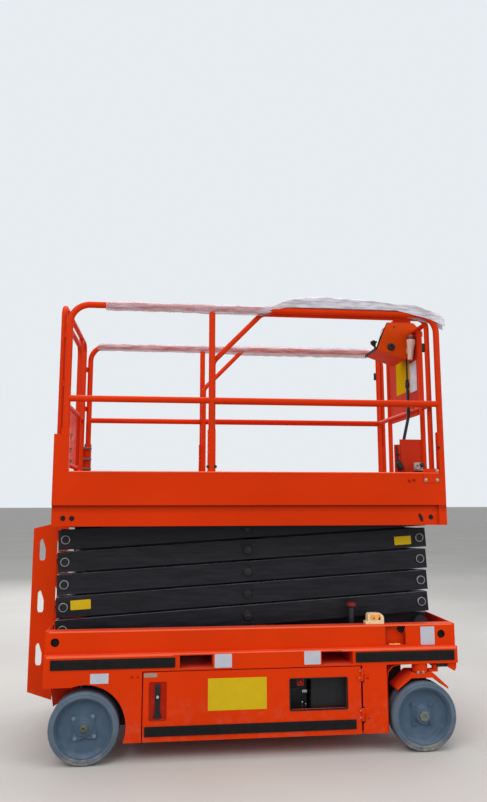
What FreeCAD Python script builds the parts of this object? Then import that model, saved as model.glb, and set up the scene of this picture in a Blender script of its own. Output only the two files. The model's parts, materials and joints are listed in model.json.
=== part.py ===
import FreeCAD, Part
import Sketcher
import math
import os
import re

# Slab scissor lift with five scissor levels, in millimetres.
# X points to the steered front end, the near side is -Y and Z points up.
# The origin lies on the ground below the middle of the whole machine.

doc = FreeCAD.newDocument("ScissorLift")
sheet = doc.addObject("Spreadsheet::Sheet", "Sizes")

# Each row: alias, value, meaning
SIZES = [
    ("wheel_radius", 190.5, "15 inch solid tyre"),
    ("tyre_width", 127, "5 inch tread"),
    ("tyre_proud", 15, "tyres beyond the side plane of the chassis"),
    ("rim_radius", 156, "outer radius of the wheel disc"),
    ("rim_depth", 96, "width of the wheel disc"),
    ("rim_inset", 10, "wheel disc behind the tyre's outer face"),
    ("dish_radius", 148, "dish in the wheel disc"),
    ("dish_depth", 34, "depth of the dish"),
    ("hub_radius", 52, "boss in the middle of the dish"),
    ("hub_height", 22, "height of the boss above the dish floor"),
    ("axle_radius", 30, "wheel axles"),
    ("axle_inset", 37, "axle ends behind the tyre's outer face"),
    ("axle_end_gap", 3, "clearance past the end of an axle"),
    ("axle_beam", 80, "rear axle box"),
    ("motor_radius", 72, "drive motors at the rear wheels"),
    ("wheel_gap", 10, "clearance between a wheel and what carries it"),
    ("rear_wheel_x", -884, "rear wheel centre"),
    ("front_wheel_x", 1035, "front wheel centre"),
    ("chassis_rear", -1110, "rear end of the chassis"),
    ("chassis_front", 1250, "front end of the chassis"),
    ("chassis_side", 570, "side plane of the chassis"),
    ("rail_inset", 30, "upper chassis rail behind the side plane"),
    ("beam_bottom", 479, "underside of the side beams"),
    ("ledge_top", 573, "top of the deck plate"),
    ("rail_top", 697, "top of the upper chassis rail"),
    ("rail_lip", 60, "lips on the chassis rails and beams"),
    ("lashing_radius", 24, "lashing holes in the upper chassis rails"),
    ("lashing_height", 637, "lashing holes"),
    ("lashing_rear", -1057, "rear lashing holes"),
    ("lashing_front", 1167, "front lashing holes"),
    ("recess_rear", 828, "recess in the upper chassis rails"),
    ("recess_front", 951, "recess in the upper chassis rails"),
    ("recess_depth", 40, "recess in the upper chassis rails"),
    ("plate", 8, "chassis plate"),
    ("thin_plate", 6, "skirts and covers"),
    ("skirt_bottom", 108, "underside of the side skirts"),
    ("tub_side", 300, "side plane of the centre tub"),
    ("tub_rear", -648, "rear end of the centre tub"),
    ("tub_front", 820, "front end of the centre tub"),
    ("tub_top", 473, "top of the centre tub"),
    ("arch_radius", 226, "rear wheel arch"),
    ("arch_straight", 404, "lower edge of the panel behind the arch"),
    ("front_beam", 90, "half length of the cross beam over the front wheels"),
    ("door_rear", -568, "latch edge of the side doors"),
    ("door_front", 667, "hinge edge of the side doors"),
    ("door_thickness", 34, "door panel"),
    ("door_gap", 6, "clearance round the doors"),
    ("hinge_radius", 8, "door hinge barrel"),
    ("hinge_pin", 4, "door and gate hinge pins"),
    ("hinge_length", 66, "door hinge barrel"),
    ("hinge_low", 180, "lower door hinge"),
    ("hinge_high", 396, "upper door hinge"),
    ("window_rear", 253, "window in the near door"),
    ("window_front", 588, "window in the near door"),
    ("window_low", 245, "window in the near door"),
    ("window_high", 419, "window in the near door"),
    ("window_split", 372, "between the ground controls and the charger"),
    ("block_gap", 14, "clearance round the blocks behind the doors"),
    ("block_height", 300, "battery and hydraulic blocks"),
    ("battery_length", 640, "battery block"),
    ("hydraulic_length", 420, "hydraulic block"),
    ("control_depth", 60, "ground controls behind the window"),
    ("pocket_width", 184, "fork pocket opening"),
    ("pocket_height", 72, "fork pocket opening"),
    ("pocket_low", 487, "floor of the fork pockets"),
    ("pocket_wall", 6, "fork pocket tube"),
    ("rear_pocket_x", -275, "middle of the rear fork pocket"),
    ("front_pocket_x", 532, "middle of the front fork pocket"),
    ("ladder_rear", -1250, "rear edge of the ladder plates"),
    ("ladder_half", 250, "outer face of the ladder plates"),
    ("ladder_top", 1250, "top of the ladder at its rear edge"),
    ("ladder_rise", 34, "rise of the ladder's upper edge"),
    ("ladder_bottom", 259, "lowest corner of the ladder"),
    ("ladder_slant", 48, "rise of the ladder's lower edge"),
    ("ladder_plate", 8, "ladder side plate"),
    ("slot_rear", 38, "rear edge of the ladder slots, from the plate's edge"),
    ("slot_width", 36, "ladder slots"),
    ("slot_height", 125, "ladder slots"),
    ("slot_first", 455, "lowest ladder slot"),
    ("slot_pitch", 303, "spacing of the ladder slots"),
    ("rung_radius", 14, "ladder rungs"),
    ("rung_first", 420, "lowest rung"),
    ("beacon_rear", 722, "beacon"),
    ("beacon_length", 120, "beacon"),
    ("beacon_height", 66, "beacon"),
    ("pin_rear", -1038, "fixed scissor pins"),
    ("pin_bottom", 677, "lowest scissor pins"),
    ("pitch", 128, "rise of one folded scissor level"),
    ("pin_span", 2144, "distance between the rear and front pins, folded"),
    ("arm_height", 114, "scissor tube"),
    ("arm_width", 50, "scissor tube"),
    ("arm_end", 42, "scissor tube past its end pins"),
    ("end_gap", 5, "clearance beside the ends of the scissor tubes"),
    ("outer_face", 400, "outer face of the outer arms"),
    ("arm_gap", 8, "side clearance between the outer and inner arms"),
    ("pin_radius", 20, "scissor pins"),
    ("pin_fit", 0.05, "radial clearance of a pin in its bore"),
    ("ring_radius", 27, "retaining ring on a pin"),
    ("ring_height", 6, "retaining ring on a pin"),
    ("cross_tube", 30, "radius of the cross tubes"),
    ("hub_tube", 35, "radius of the middle hub tubes"),
    ("hub_tube_end", 220, "inner end of the middle hub tubes"),
    ("roller_radius", 40, "scissor rollers"),
    ("roller_width", 40, "scissor rollers"),
    ("roller_gap", 0.3, "clearance between a roller and its track"),
    ("track_rear", -30, "rear end of the roller tracks"),
    ("track_front", 1165, "front end of the roller tracks"),
    ("bracket", 12, "pin bracket plate"),
    ("bracket_half", 58, "half length of a pin bracket"),
    ("platform_rear", -1100, "rear end of the platform"),
    ("platform_front", 1218, "front end of the platform"),
    ("platform_bottom", 1271, "lower edge of the platform band"),
    ("band_top", 1390, "step between the band and the toeboard"),
    ("band_side", 565, "side plane of the platform band"),
    ("band_inset", 14, "band behind the outer face of the toeboard"),
    ("toe_plate", 5, "toeboard"),
    ("toe_top", 1584, "top of the toeboard"),
    ("band_end", 48, "flush end of the platform band at the front"),
    ("socket_half", 23, "half width of the guardrail sockets"),
    ("socket_top", 1830, "top of the guardrail sockets"),
    ("corner_length", 85, "corner plates at the rear of the platform"),
    ("corner_top", 1795, "corner plates at the rear of the platform"),
    ("deck_top", 1430, "platform floor"),
    ("deck_plate", 6, "platform floor"),
    ("deck_beam", 30, "depth of the beams below the floor"),
    ("deck_beam_width", 50, "beams below the floor"),
    ("deck_beam_first", -960, "first beam below the floor"),
    ("deck_beam_pitch", 500, "spacing of the beams below the floor"),
    ("tube_radius", 19, "main guardrail tube"),
    ("rail_inward", 24, "main guardrail tubes behind the toeboard's face"),
    ("rail_rear", -1037, "rear post of the main guardrails"),
    ("rail_middle", -197, "middle post of the main guardrails"),
    ("rail_front", 1208, "front post of the main guardrails"),
    ("top_rail", 2570, "centre of the top rail"),
    ("mid_rail", 2005, "centre of the mid rail"),
    ("rail_bend", 115, "bend of the top rail at its corners"),
    ("gate_offset", 41, "rear guardrail behind the rear posts"),
    ("gate_tube", 16, "rear guardrail and gate tube"),
    ("gate_post", 515, "outer posts of the rear guardrail"),
    ("gate_inner_post", 300, "posts beside the entry gate"),
    ("gate_gap", 22, "clearance between the gate and its posts"),
    ("gate_barrel", 9, "gate hinge barrel"),
    ("gate_hinge_low", 1700, "lower gate hinge"),
    ("gate_hinge_drop", 90, "upper gate hinge below the gate's upper rail"),
    ("gate_low", 1640, "lower rail of the entry gate"),
    ("gate_drop", 80, "upper rail of the entry gate below the top rail"),
    ("slide_tube", 16, "sliding guardrail tube"),
    ("slide_drop", 12, "sliding top rail below the main top rail"),
    ("slide_rear", -187, "rear post of the sliding guardrails"),
    ("slide_front", 1165, "front post of the sliding guardrails"),
    ("slide_brace", 308, "height of the slanting brace"),
    ("slide_peak", 112, "upper end of the slanting brace"),
    ("slide_bend", 60, "bends of the sliding guardrails"),
    ("slide_floor", 6, "sliding floor"),
    ("slide_gap", 0.4, "clearance under the sliding floor"),
    ("slide_side", 522, "half width of the sliding floor"),
    ("slide_toe_top", 1575, "top of the sliding toeboards"),
    ("front_post_near", 385, "inner post of the front guardrail, near side"),
    ("front_post_far", 250, "inner post of the front guardrail, far side"),
    ("front_sheet", 4, "sheet panels of the front guardrail"),
    ("front_sheet_low", 1965, "lower edge of the upper front panel"),
    ("front_kick_top", 1800, "top of the lower front panel"),
    ("front_kick_length", 140, "lower front panel, along the platform"),
    ("cable_y", -240, "control cable across the platform"),
    ("cable_radius", 6, "control cable"),
    ("conduit_radius", 10, "conduit round the lower part of the cable"),
    ("conduit_drop", 172, "upper end of the conduit below the control box"),
    ("cable_bend", 200, "bends of the control cable"),
    ("cable_lean", 40, "lower end of the conduit behind its upper end"),
    ("king_inset", 65, "steering axis behind the tyre's outer face"),
    ("king_pin_radius", 28, "steering pin"),
    ("king_boss", 45, "boss round the steering pin"),
    ("king_gap", 5, "clearance above the steering yoke"),
    ("yoke_top", 425, "top of the steering yoke"),
    ("yoke_plate", 26, "steering yoke"),
    ("yoke_flat", 66, "half length of the yoke's flat top"),
    ("yoke_flap", 152, "half length of the yoke with its flaps"),
    ("yoke_edge", 20, "yoke behind the tyre's outer face"),
    ("flap_drop", 78, "drop of the yoke flaps"),
    ("knuckle_plate", 24, "upright plate of the steering knuckle"),
    ("steer_arm", 93, "steering arm, from the steering axis to the link"),
    ("steer_arm_width", 34, "steering arm"),
    ("steer_arm_plate", 14, "steering arm"),
    ("link_radius", 9, "steering link and its pins"),
    ("link_eye", 19, "radius of the steering link's eyes"),
    ("link_eye_height", 24, "eyes of the steering link"),
    ("cylinder_reach", 1000, "cylinder eyes, along an inner arm from its middle"),
    ("cylinder_radius", 52, "lift cylinder barrel"),
    ("rod_radius", 34, "lift cylinder rod"),
    ("rod_fit", 0.5, "radial clearance of the rod"),
    ("barrel_end", 1900, "end of the barrel from its eye"),
    ("rod_start", 95, "inner end of the rod from the barrel's eye"),
    ("eye_radius", 36, "cylinder eyes"),
    ("eye_width", 56, "cylinder eyes"),
    ("lug_gap", 6, "side clearance of the cylinder eyes"),
    ("lug_plate", 14, "cylinder lugs"),
    ("box_middle", -160, "middle of the control box across the platform"),
    ("box_width", 250, "control box"),
    ("box_rear", 905, "nose of the control box"),
    ("box_proud", 20, "top of the control box above the top rail"),
    ("box_height", 250, "control box"),
    ("box_panel", 80, "upper edge of the control panel, from the box's nose"),
    ("box_waist", 30, "lower edge of the control panel, from the box's nose"),
    ("box_waist_height", 145, "lower edge of the control panel above the box's underside"),
    ("box_chin", 68, "nose of the control box above its underside"),
    ("box_cut", 45, "slope at the front of the box's underside"),
    ("box_cut_rise", 40, "slope at the front of the box's underside"),
    ("film_gap", 0.3, "clearance of the wrapping film"),
    ("film_wall", 5, "wrapping film, bunched up"),
    ("film_rear", -820, "rear end of the film on the near rail"),
    ("film_front", 1080, "front end of the film"),
    ("film_far_rear", -900, "rear end of the film on the far rail"),
]
for row, (alias, value, meaning) in enumerate(SIZES, start=1):
    sheet.set("A%d" % row, meaning)
    sheet.set("B%d" % row, str(value))
    sheet.setAlias("B%d" % row, alias)
doc.recompute()

ALIASES = {alias for alias, value, meaning in SIZES}
TURNS = {"X": (FreeCAD.Vector(0, 1, 0), 90), "Y": (FreeCAD.Vector(1, 0, 0), -90),
         "Z": (FreeCAD.Vector(0, 0, 1), 0)}
SIDES = (("near", -1), ("far", 1))
LEVELS = range(5)

# Lengths that follow from the sizes, by name
DERIVED = {
    "half_width": "(chassis_side + tyre_proud)",
    "rail_side": "(chassis_side - rail_inset)",
    "king_pin_y": "(half_width - king_inset)",
    "axle_end": "(half_width - axle_inset)",
    "knuckle_face": "(half_width - tyre_width - wheel_gap)",
    "hinge_x": "(door_front + door_gap)",
    "arm_length": "sqrt(pin_span^2 + pitch^2)",
    "arm_middle": "(arm_length/2)",
    "arm_angle": "atan(pitch/pin_span)",
    "outer_back": "(outer_face - arm_width)",
    "lug_face": "(outer_back - arm_gap/2)",
    "inner_face": "(outer_back - arm_gap)",
    "inner_back": "(inner_face - arm_width)",
    "eye_run": "(2*cylinder_reach*pin_span/arm_length)",
    "eye_rise": "(pitch + 2*cylinder_reach*pitch/arm_length)",
    "rod_eye": "sqrt(eye_run^2 + eye_rise^2)",
    "toe_side": "(band_side + band_inset)",
    "rail_plane": "(toe_side - rail_inward)",
    "gate_x": "(rail_rear - gate_offset)",
    "gate_high": "(top_rail - gate_drop)",
    "gate_hinge_high": "(gate_high - gate_hinge_drop)",
    "gate_hinge": "(gate_inner_post - gate_tube - gate_gap/2)",
    "gate_edge": "(gate_inner_post - 2*gate_tube - gate_gap)",
    "slide_top": "(top_rail - slide_drop)",
    "slide_knee": "(slide_top - slide_brace)",
    "front_cross": "(slide_top - 2*slide_tube)",
    "slide_plane": "(slide_side - slide_tube - pin_fit)",
    "deck_floor": "(deck_top + slide_gap + slide_floor)",
    "box_front": "(slide_front - slide_tube - film_gap)",
    "box_high": "(top_rail + box_proud)",
    "box_low": "(box_high - box_height)",
    "conduit_top": "(box_low - conduit_drop)",
}


def cells(text):
    """Turn the names of sizes and lengths in an expression into references to the sheet."""
    def reference(match):
        word = match.group(0)
        if word in DERIVED:
            return cells(DERIVED[word])
        return "Sizes." + word if word in ALIASES else word
    return re.sub(r"[a-z][a-z_]*", reference, text)


def number(text):
    """The present value of an expression."""
    return float(sheet.evalExpression(cells(text)))


def bind(feature, prop, text):
    feature.setExpression(prop, cells(text))


def put(feature, x, y, z):
    for letter, text in zip("xyz", (x, y, z)):
        bind(feature, "Placement.Base." + letter, text)


def across(side, inner, outer):
    """The y range between two distances from the middle, on one side."""
    if side < 0:
        return ("-(%s)" % outer, "-(%s)" % inner)
    return (inner, outer)


def both(outer):
    """The y range over the whole width."""
    return ("-(%s)" % outer, outer)


def slab(x, y, z):
    """A box given by its limits along X, Y and Z."""
    feature = doc.addObject("Part::Box", "slab")
    for prop, (low, high) in zip(("Length", "Width", "Height"), (x, y, z)):
        bind(feature, prop, "(%s) - (%s)" % (high, low))
    put(feature, x[0], y[0], z[0])
    return feature


def rod(axis, x, y, z, radius):
    """A cylinder along one axis, with two limits on that axis."""
    feature = doc.addObject("Part::Cylinder", "rod")
    vector, angle = TURNS[axis]
    feature.Placement = FreeCAD.Placement(FreeCAD.Vector(), FreeCAD.Rotation(vector, angle))
    place = {"X": x, "Y": y, "Z": z}
    low, high = place[axis]
    place[axis] = low
    bind(feature, "Radius", radius)
    bind(feature, "Height", "(%s) - (%s)" % (high, low))
    put(feature, place["X"], place["Y"], place["Z"])
    return feature


def join(features):
    if len(features) == 1:
        return features[0]
    feature = doc.addObject("Part::MultiFuse", "join")
    feature.Shapes = features
    return feature


def cut(base, tools):
    feature = doc.addObject("Part::Cut", "cut")
    feature.Base = base
    feature.Tool = join(tools)
    return feature


def profile(points, y_range):
    """A plate in an XZ plane, padded from an outline whose corners are expressions."""
    body = doc.addObject("PartDesign::Body", "plate_body")
    sketch = body.newObject("Sketcher::SketchObject", "outline")
    plane = [item for item in body.Origin.OriginFeatures if item.Role == "XZ_Plane"][0]
    sketch.AttachmentSupport = (plane, "")
    sketch.MapMode = "FlatFace"
    corners = [FreeCAD.Vector(number(along), number(up), 0) for along, up in points]
    count = len(points)
    for index in range(count):
        sketch.addGeometry(Part.LineSegment(corners[index], corners[(index + 1) % count]), False)
    for index in range(count):
        sketch.addConstraint(Sketcher.Constraint("Coincident", index, 2, (index + 1) % count, 1))
    for index, (along, up) in enumerate(points):
        for kind, text in (("DistanceX", along), ("DistanceY", up)):
            row = sketch.addConstraint(Sketcher.Constraint(kind, -1, 1, index, 1, number(text)))
            sketch.setExpression("Constraints[%d]" % row, cells(text))
    pad = body.newObject("PartDesign::Pad", "pad")
    pad.Profile = sketch
    bind(pad, "Length", "(%s) - (%s)" % (y_range[1], y_range[0]))
    bind(body, "Placement.Base.y", y_range[1])
    return body


def tilt(feature, x, z, axis_y, angle):
    """Turn a feature that is built round the Y axis, and move that axis to (x, z)."""
    turn = FreeCAD.Rotation(FreeCAD.Vector(0, axis_y, 0), 1)
    feature.Placement = FreeCAD.Placement(FreeCAD.Vector(), turn)
    bind(feature, "Placement.Rotation.Angle", angle)
    put(feature, x, "0", z)
    return feature


def bent_tube(points, radius, bend):
    """A round tube whose centre line runs through the points, with round bends."""
    corners = [FreeCAD.Vector(*[number(text) for text in point]) for point in points]
    reach = number(bend)
    edges = []
    start = corners[0]
    for before, corner, after in zip(corners, corners[1:], corners[2:]):
        back = (before - corner).normalize()
        ahead = (after - corner).normalize()
        half = back.getAngle(ahead) / 2
        leg = reach / math.tan(half)
        first = corner + back * leg
        last = corner + ahead * leg
        middle = corner + (back + ahead).normalize() * (reach / math.sin(half) - reach)
        edges.append(Part.LineSegment(start, first).toShape())
        edges.append(Part.Arc(first, middle, last).toShape())
        start = last
    edges.append(Part.LineSegment(start, corners[-1]).toShape())
    path = doc.addObject("Part::Feature", "tube_line")
    path.Shape = Part.Wire(edges)
    ring = doc.addObject("Part::Feature", "tube_ring")
    direction = corners[1] - corners[0]
    ring.Shape = Part.Wire([Part.makeCircle(number(radius), corners[0], direction)])
    feature = doc.addObject("Part::Sweep", "tube")
    feature.Sections = [ring]
    feature.Spine = (path, ["Edge%d" % (index + 1) for index in range(len(edges))])
    feature.Solid = True
    return feature


KEPT = []


def keep(label, features):
    """Finish one piece of the machine under its own name."""
    feature = join(features)
    feature.Label = label
    KEPT.append(feature)
    return feature


def chassis_frame():
    full = ("chassis_rear", "chassis_front")
    inside = ("chassis_rear + plate", "chassis_front - plate")
    parts = [slab(full, both("chassis_side"), ("ledge_top - plate", "ledge_top")),
             slab(("chassis_rear", "chassis_rear + plate"), both("rail_side"), ("beam_bottom", "rail_top")),
             slab(("chassis_front - plate", "chassis_front"), both("rail_side"), ("beam_bottom", "rail_top")),
             slab(("front_wheel_x - front_beam", "front_wheel_x + front_beam"), both("chassis_side - plate"),
                  ("beam_bottom", "ledge_top - plate"))]
    pockets = []
    for middle in ("rear_pocket_x", "front_pocket_x"):
        parts.append(slab(("%s - pocket_width/2 - pocket_wall" % middle, "%s + pocket_width/2 + pocket_wall" % middle),
                          both("chassis_side"), ("pocket_low - pocket_wall", "ledge_top")))
        pockets.append(slab(("%s - pocket_width/2" % middle, "%s + pocket_width/2" % middle),
                            both("half_width"), ("pocket_low", "pocket_low + pocket_height")))
    bores = []
    for name, side in SIDES:
        king_y = "%d*king_pin_y" % side
        parts += [
            slab(full, across(side, "chassis_side - plate", "chassis_side"), ("beam_bottom", "ledge_top - plate")),
            slab(full, across(side, "chassis_side - rail_lip", "chassis_side"), ("beam_bottom", "beam_bottom + plate")),
            slab(inside, across(side, "rail_side - plate", "rail_side"), ("ledge_top", "rail_top")),
            slab(inside, across(side, "rail_side - rail_lip", "rail_side"), ("rail_top - plate", "rail_top")),
            slab(("track_rear", "track_front"), across(side, "outer_back", "outer_back + roller_width"),
                 ("ledge_top", "pin_bottom - roller_radius - roller_gap")),
            slab(("pin_rear - bracket_half", "pin_rear + bracket_half"),
                 across(side, "lug_face - bracket", "lug_face"), ("ledge_top", "pin_bottom + arm_height/2 - 2*arm_gap")),
            slab(("recess_rear", "recess_front"), across(side, "rail_side - recess_depth - plate", "rail_side - recess_depth"),
                 ("ledge_top", "rail_top - plate")),
            rod("Z", "front_wheel_x", king_y, ("yoke_top + king_gap", "beam_bottom"), "king_boss")]
        bores += [
            rod("Y", "pin_rear", across(side, "inner_back", "outer_back"), "pin_bottom",
                "pin_radius + pin_fit"),
            rod("Z", "front_wheel_x", king_y, ("yoke_top", "beam_bottom + plate"), "king_pin_radius + pin_fit")]
        bores.append(slab(("chassis_rear - plate", "chassis_rear + 2*plate"),
                          across(side, "outer_back - end_gap", "outer_face + end_gap"),
                          ("pin_bottom - arm_end", "rail_top + plate")))
        bores += [rod("Y", x, across(side, "rail_side - 2*plate", "half_width"), "lashing_height", "lashing_radius")
                  for x in ("lashing_rear", "lashing_front")]
        bores.append(slab(("recess_rear", "recess_front"), across(side, "rail_side - 2*plate", "half_width"),
                          ("ledge_top + plate", "rail_top - plate")))
    keep("chassis_frame", [cut(join(parts), pockets + bores)])


def centre_tub():
    span = ("tub_rear", "tub_front")
    tall = ("skirt_bottom", "tub_top")
    parts = [slab(("tub_rear", "tub_rear + plate"), both("tub_side"), tall),
             slab(("tub_front - plate", "tub_front"), both("tub_side"), tall),
             slab(span, both("chassis_side - rail_lip"), ("tub_top", "beam_bottom"))]
    for name, side in SIDES:
        parts.append(slab(span, across(side, "tub_side - plate", "tub_side"), tall))
        parts.append(slab(span, across(side, "tub_side", "chassis_side - door_thickness - door_gap"),
                          ("skirt_bottom", "skirt_bottom + thin_plate")))
    pockets = [slab(("%s - pocket_width/2 - pocket_wall" % middle, "%s + pocket_width/2 + pocket_wall" % middle),
                    both("half_width"), ("tub_top + thin_plate", "ledge_top"))
               for middle in ("rear_pocket_x", "front_pocket_x")]
    keep("centre_tub", [cut(join(parts), pockets)])


def side_skirts():
    rear = []
    front = []
    for name, side in SIDES:
        skin = across(side, "chassis_side - thin_plate", "chassis_side")
        inner = across(side, "tub_side", "chassis_side - thin_plate")
        outline = [("chassis_rear", "arch_straight"), ("rear_wheel_x", "arch_straight"),
                   ("rear_wheel_x", "skirt_bottom"), ("door_rear - door_gap", "skirt_bottom"),
                   ("door_rear - door_gap", "beam_bottom"), ("chassis_rear", "beam_bottom")]
        arch = rod("Y", "rear_wheel_x", across(side, "tub_side", "half_width"), "wheel_radius", "arch_radius")
        rear.append(cut(profile(outline, skin), [arch]))
        rear.append(slab(("tub_rear", "tub_rear + thin_plate"), inner, ("skirt_bottom + thin_plate", "tub_top")))
        front.append(slab(("door_front + 2*door_gap + hinge_radius", "tub_front"), skin, ("skirt_bottom", "beam_bottom")))
        front.append(slab(("tub_front - thin_plate", "tub_front"), inner, ("skirt_bottom + thin_plate", "tub_top")))
        barrel_y = "%d*(chassis_side + hinge_radius)" % side
        leaf_y = across(side, "chassis_side", "chassis_side + hinge_radius/2")
        for moving, fixed in hinge_rows():
            front.append(rod("Z", "hinge_x", barrel_y, fixed, "hinge_radius"))
            front.append(rod("Z", "hinge_x", barrel_y, (moving[0], fixed[1]), "hinge_pin"))
            front.append(slab(("hinge_x", "hinge_x + 5*hinge_radius"), leaf_y, fixed))
    keep("rear_skirts", rear)
    keep("front_skirts", front)


# A ladder slot's corners, as parts of its width and height
SLOT_CORNERS = (("1/6", "0"), ("5/6", "0"), ("1", "1/8"), ("1", "5/9"), ("1/2", "1"), ("1/4", "1"), ("0", "7/8"), ("0", "1/8"))


def rear_ladder():
    parts = []
    for name, side in SIDES:
        outline = [("ladder_rear", "ladder_bottom + ladder_slant"), ("chassis_rear", "ladder_bottom"),
                   ("chassis_rear", "ladder_top + ladder_rise"), ("ladder_rear", "ladder_top")]
        through = across(side, "ladder_half - 2*ladder_plate", "ladder_half + ladder_plate")
        slots = []
        for step in range(3):
            corners = [("ladder_rear + slot_rear + %s*slot_width" % along,
                        "slot_first + %d*slot_pitch + %s*slot_height" % (step, up)) for along, up in SLOT_CORNERS]
            slots.append(profile(corners, through))
        parts.append(cut(profile(outline, across(side, "ladder_half - ladder_plate", "ladder_half")), slots))
    for step in range(3):
        parts.append(rod("Y", "(ladder_rear + chassis_rear)/2", both("ladder_half - ladder_plate"),
                         "rung_first + %d*slot_pitch" % step, "rung_radius"))
    keep("rear_ladder", parts)


def rear_axle():
    beam = ("rear_wheel_x - axle_beam/2", "rear_wheel_x + axle_beam/2")
    parts = [slab(beam, both("knuckle_face"), ("wheel_radius - axle_beam/2", "wheel_radius + axle_beam/2"))]
    for name, side in SIDES:
        parts.append(slab(beam, across(side, "tub_side - axle_beam/2", "tub_side + axle_beam/2"),
                          ("wheel_radius", "ledge_top - plate")))
        parts.append(rod("Y", "rear_wheel_x", across(side, "knuckle_face - axle_beam", "knuckle_face"),
                         "wheel_radius", "motor_radius"))
        parts.append(rod("Y", "rear_wheel_x", across(side, "knuckle_face", "axle_end"), "wheel_radius", "axle_radius"))
    keep("rear_axle", parts)


def wheels():
    for end in ("rear", "front"):
        middle = end + "_wheel_x"
        for name, side in SIDES:
            outer = "half_width - rim_inset"
            dish = outer + " - dish_depth"

            def disc(low, high, radius):
                return rod("Y", middle, across(side, low, high), "wheel_radius", radius)
            tread = disc("half_width - tyre_width", "half_width", "wheel_radius")
            keep("tyre_%s_%s" % (end, name), [cut(tread, [disc("half_width - 2*tyre_width", "2*half_width", "rim_radius")])])
            wheel = cut(disc(outer + " - rim_depth", outer, "rim_radius"), [disc(dish, "half_width", "dish_radius")])
            hub = disc(dish + " - thin_plate", dish + " + hub_height", "hub_radius")
            bore = disc(outer + " - 2*rim_depth", "axle_end + axle_end_gap", "axle_radius + pin_fit")
            keep("rim_%s_%s" % (end, name), [cut(join([wheel, hub]), [bore])])


def steering():
    front = "front_wheel_x"
    arm_tip = "front_wheel_x + steer_arm"
    arm_top = "yoke_top + steer_arm_plate"
    link_low = arm_top + " + king_gap/2"
    for name, side in SIDES:
        king_y = "%d*king_pin_y" % side
        flap_top = "yoke_top - flap_drop"
        outline = [(front + " - yoke_flap", flap_top + " - yoke_plate/2"), (front + " - yoke_flap", flap_top),
                   (front + " - yoke_flat", "yoke_top"), (front + " + yoke_flat", "yoke_top"),
                   (front + " + yoke_flap", flap_top), (front + " + yoke_flap", flap_top + " - yoke_plate/2"),
                   (front + " + yoke_flat", "yoke_top - yoke_plate"), (front + " - yoke_flat", "yoke_top - yoke_plate")]
        back = "knuckle_face - knuckle_plate"
        arm_y = across(side, "king_pin_y - steer_arm_width/2", "king_pin_y + steer_arm_width/2")
        parts = [
            profile(outline, across(side, back, "half_width - yoke_edge")),
            slab((front + " - yoke_flat", front + " + yoke_flat"), across(side, back, "knuckle_face"),
                 ("wheel_radius - yoke_flat", "yoke_top - yoke_plate")),
            rod("Y", front, across(side, "knuckle_face", "axle_end"), "wheel_radius", "axle_radius"),
            rod("Z", front, king_y, ("yoke_top - yoke_plate/2", "beam_bottom"), "king_pin_radius"),
            slab((front + " + king_boss + king_gap", arm_tip), arm_y, ("yoke_top", arm_top)),
            rod("Z", arm_tip, king_y, ("yoke_top", arm_top), "steer_arm_width/2"),
            rod("Z", arm_tip, king_y, (arm_top, link_low + " + link_eye_height"), "link_radius")]
        keep("steering_knuckle_" + name, parts)
    bar = [rod("Y", arm_tip, both("king_pin_y"), link_low + " + link_eye_height/2", "link_radius")]
    bores = []
    for name, side in SIDES:
        king_y = "%d*king_pin_y" % side
        bar.append(rod("Z", arm_tip, king_y, (link_low, link_low + " + link_eye_height"), "link_eye"))
        bores.append(rod("Z", arm_tip, king_y, ("yoke_top", "beam_bottom"), "link_radius + pin_fit"))
    keep("steering_link", [cut(join(bar), bores)])


def hinge_rows():
    """The z range of each door barrel and of the fixed barrel above it."""
    for low in ("hinge_low", "hinge_high"):
        middle = low + " + hinge_length/2"
        yield (low, middle), (middle + " + film_gap", low + " + hinge_length")


def side_doors():
    for name, side in SIDES:
        panel = slab(("door_rear", "door_front"), across(side, "chassis_side - door_thickness", "chassis_side"),
                     ("skirt_bottom", "beam_bottom - door_gap"))
        if name == "near":
            panel = cut(panel, [slab(("window_rear", "window_front"), across(side, "tub_side", "half_width"),
                                     ("window_low", "window_high"))])
        parts = [panel]
        bores = []
        barrel_y = "%d*(chassis_side + hinge_radius)" % side
        leaf_y = across(side, "chassis_side", "chassis_side + hinge_radius/2")
        for moving, fixed in hinge_rows():
            parts.append(rod("Z", "hinge_x", barrel_y, moving, "hinge_radius"))
            parts.append(slab(("door_front - 3*hinge_radius", "hinge_x"), leaf_y, moving))
            bores.append(rod("Z", "hinge_x", barrel_y, moving, "hinge_pin + pin_fit"))
        keep("side_door_" + name, [cut(join(parts), bores)])


def inside_blocks():
    floor = "skirt_bottom + thin_plate"
    back = "chassis_side - door_thickness - block_gap"
    rear = "door_rear + block_gap"
    keep("battery_block", [slab((rear, rear + " + battery_length"), across(1, "tub_side", back),
                                (floor, floor + " + block_height"))])
    keep("hydraulic_block", [slab((rear, rear + " + hydraulic_length"), across(-1, "tub_side", back),
                                  (floor, floor + " + block_height"))])
    keep("ground_controls", [slab(("window_rear - block_gap", "window_split"), across(-1, "tub_side", back + " - control_depth"),
                                  (floor, "window_high + block_gap"))])
    keep("charger_box", [slab(("window_split + block_gap", "window_front + block_gap"), across(-1, "tub_side", back),
                              (floor, "window_high + block_gap"))])


def beacon():
    keep("beacon_light", [slab(("beacon_rear", "beacon_rear + beacon_length"),
                               across(-1, "rail_side - rail_lip", "rail_side"), ("rail_top", "rail_top + beacon_height"))])


def arm_tubes(side, back, face):
    """One scissor tube from its rear pin, with square ends."""
    return [slab(("-arm_end", "arm_length + arm_end"), across(side, back, face), ("-arm_height/2", "arm_height/2"))]


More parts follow.
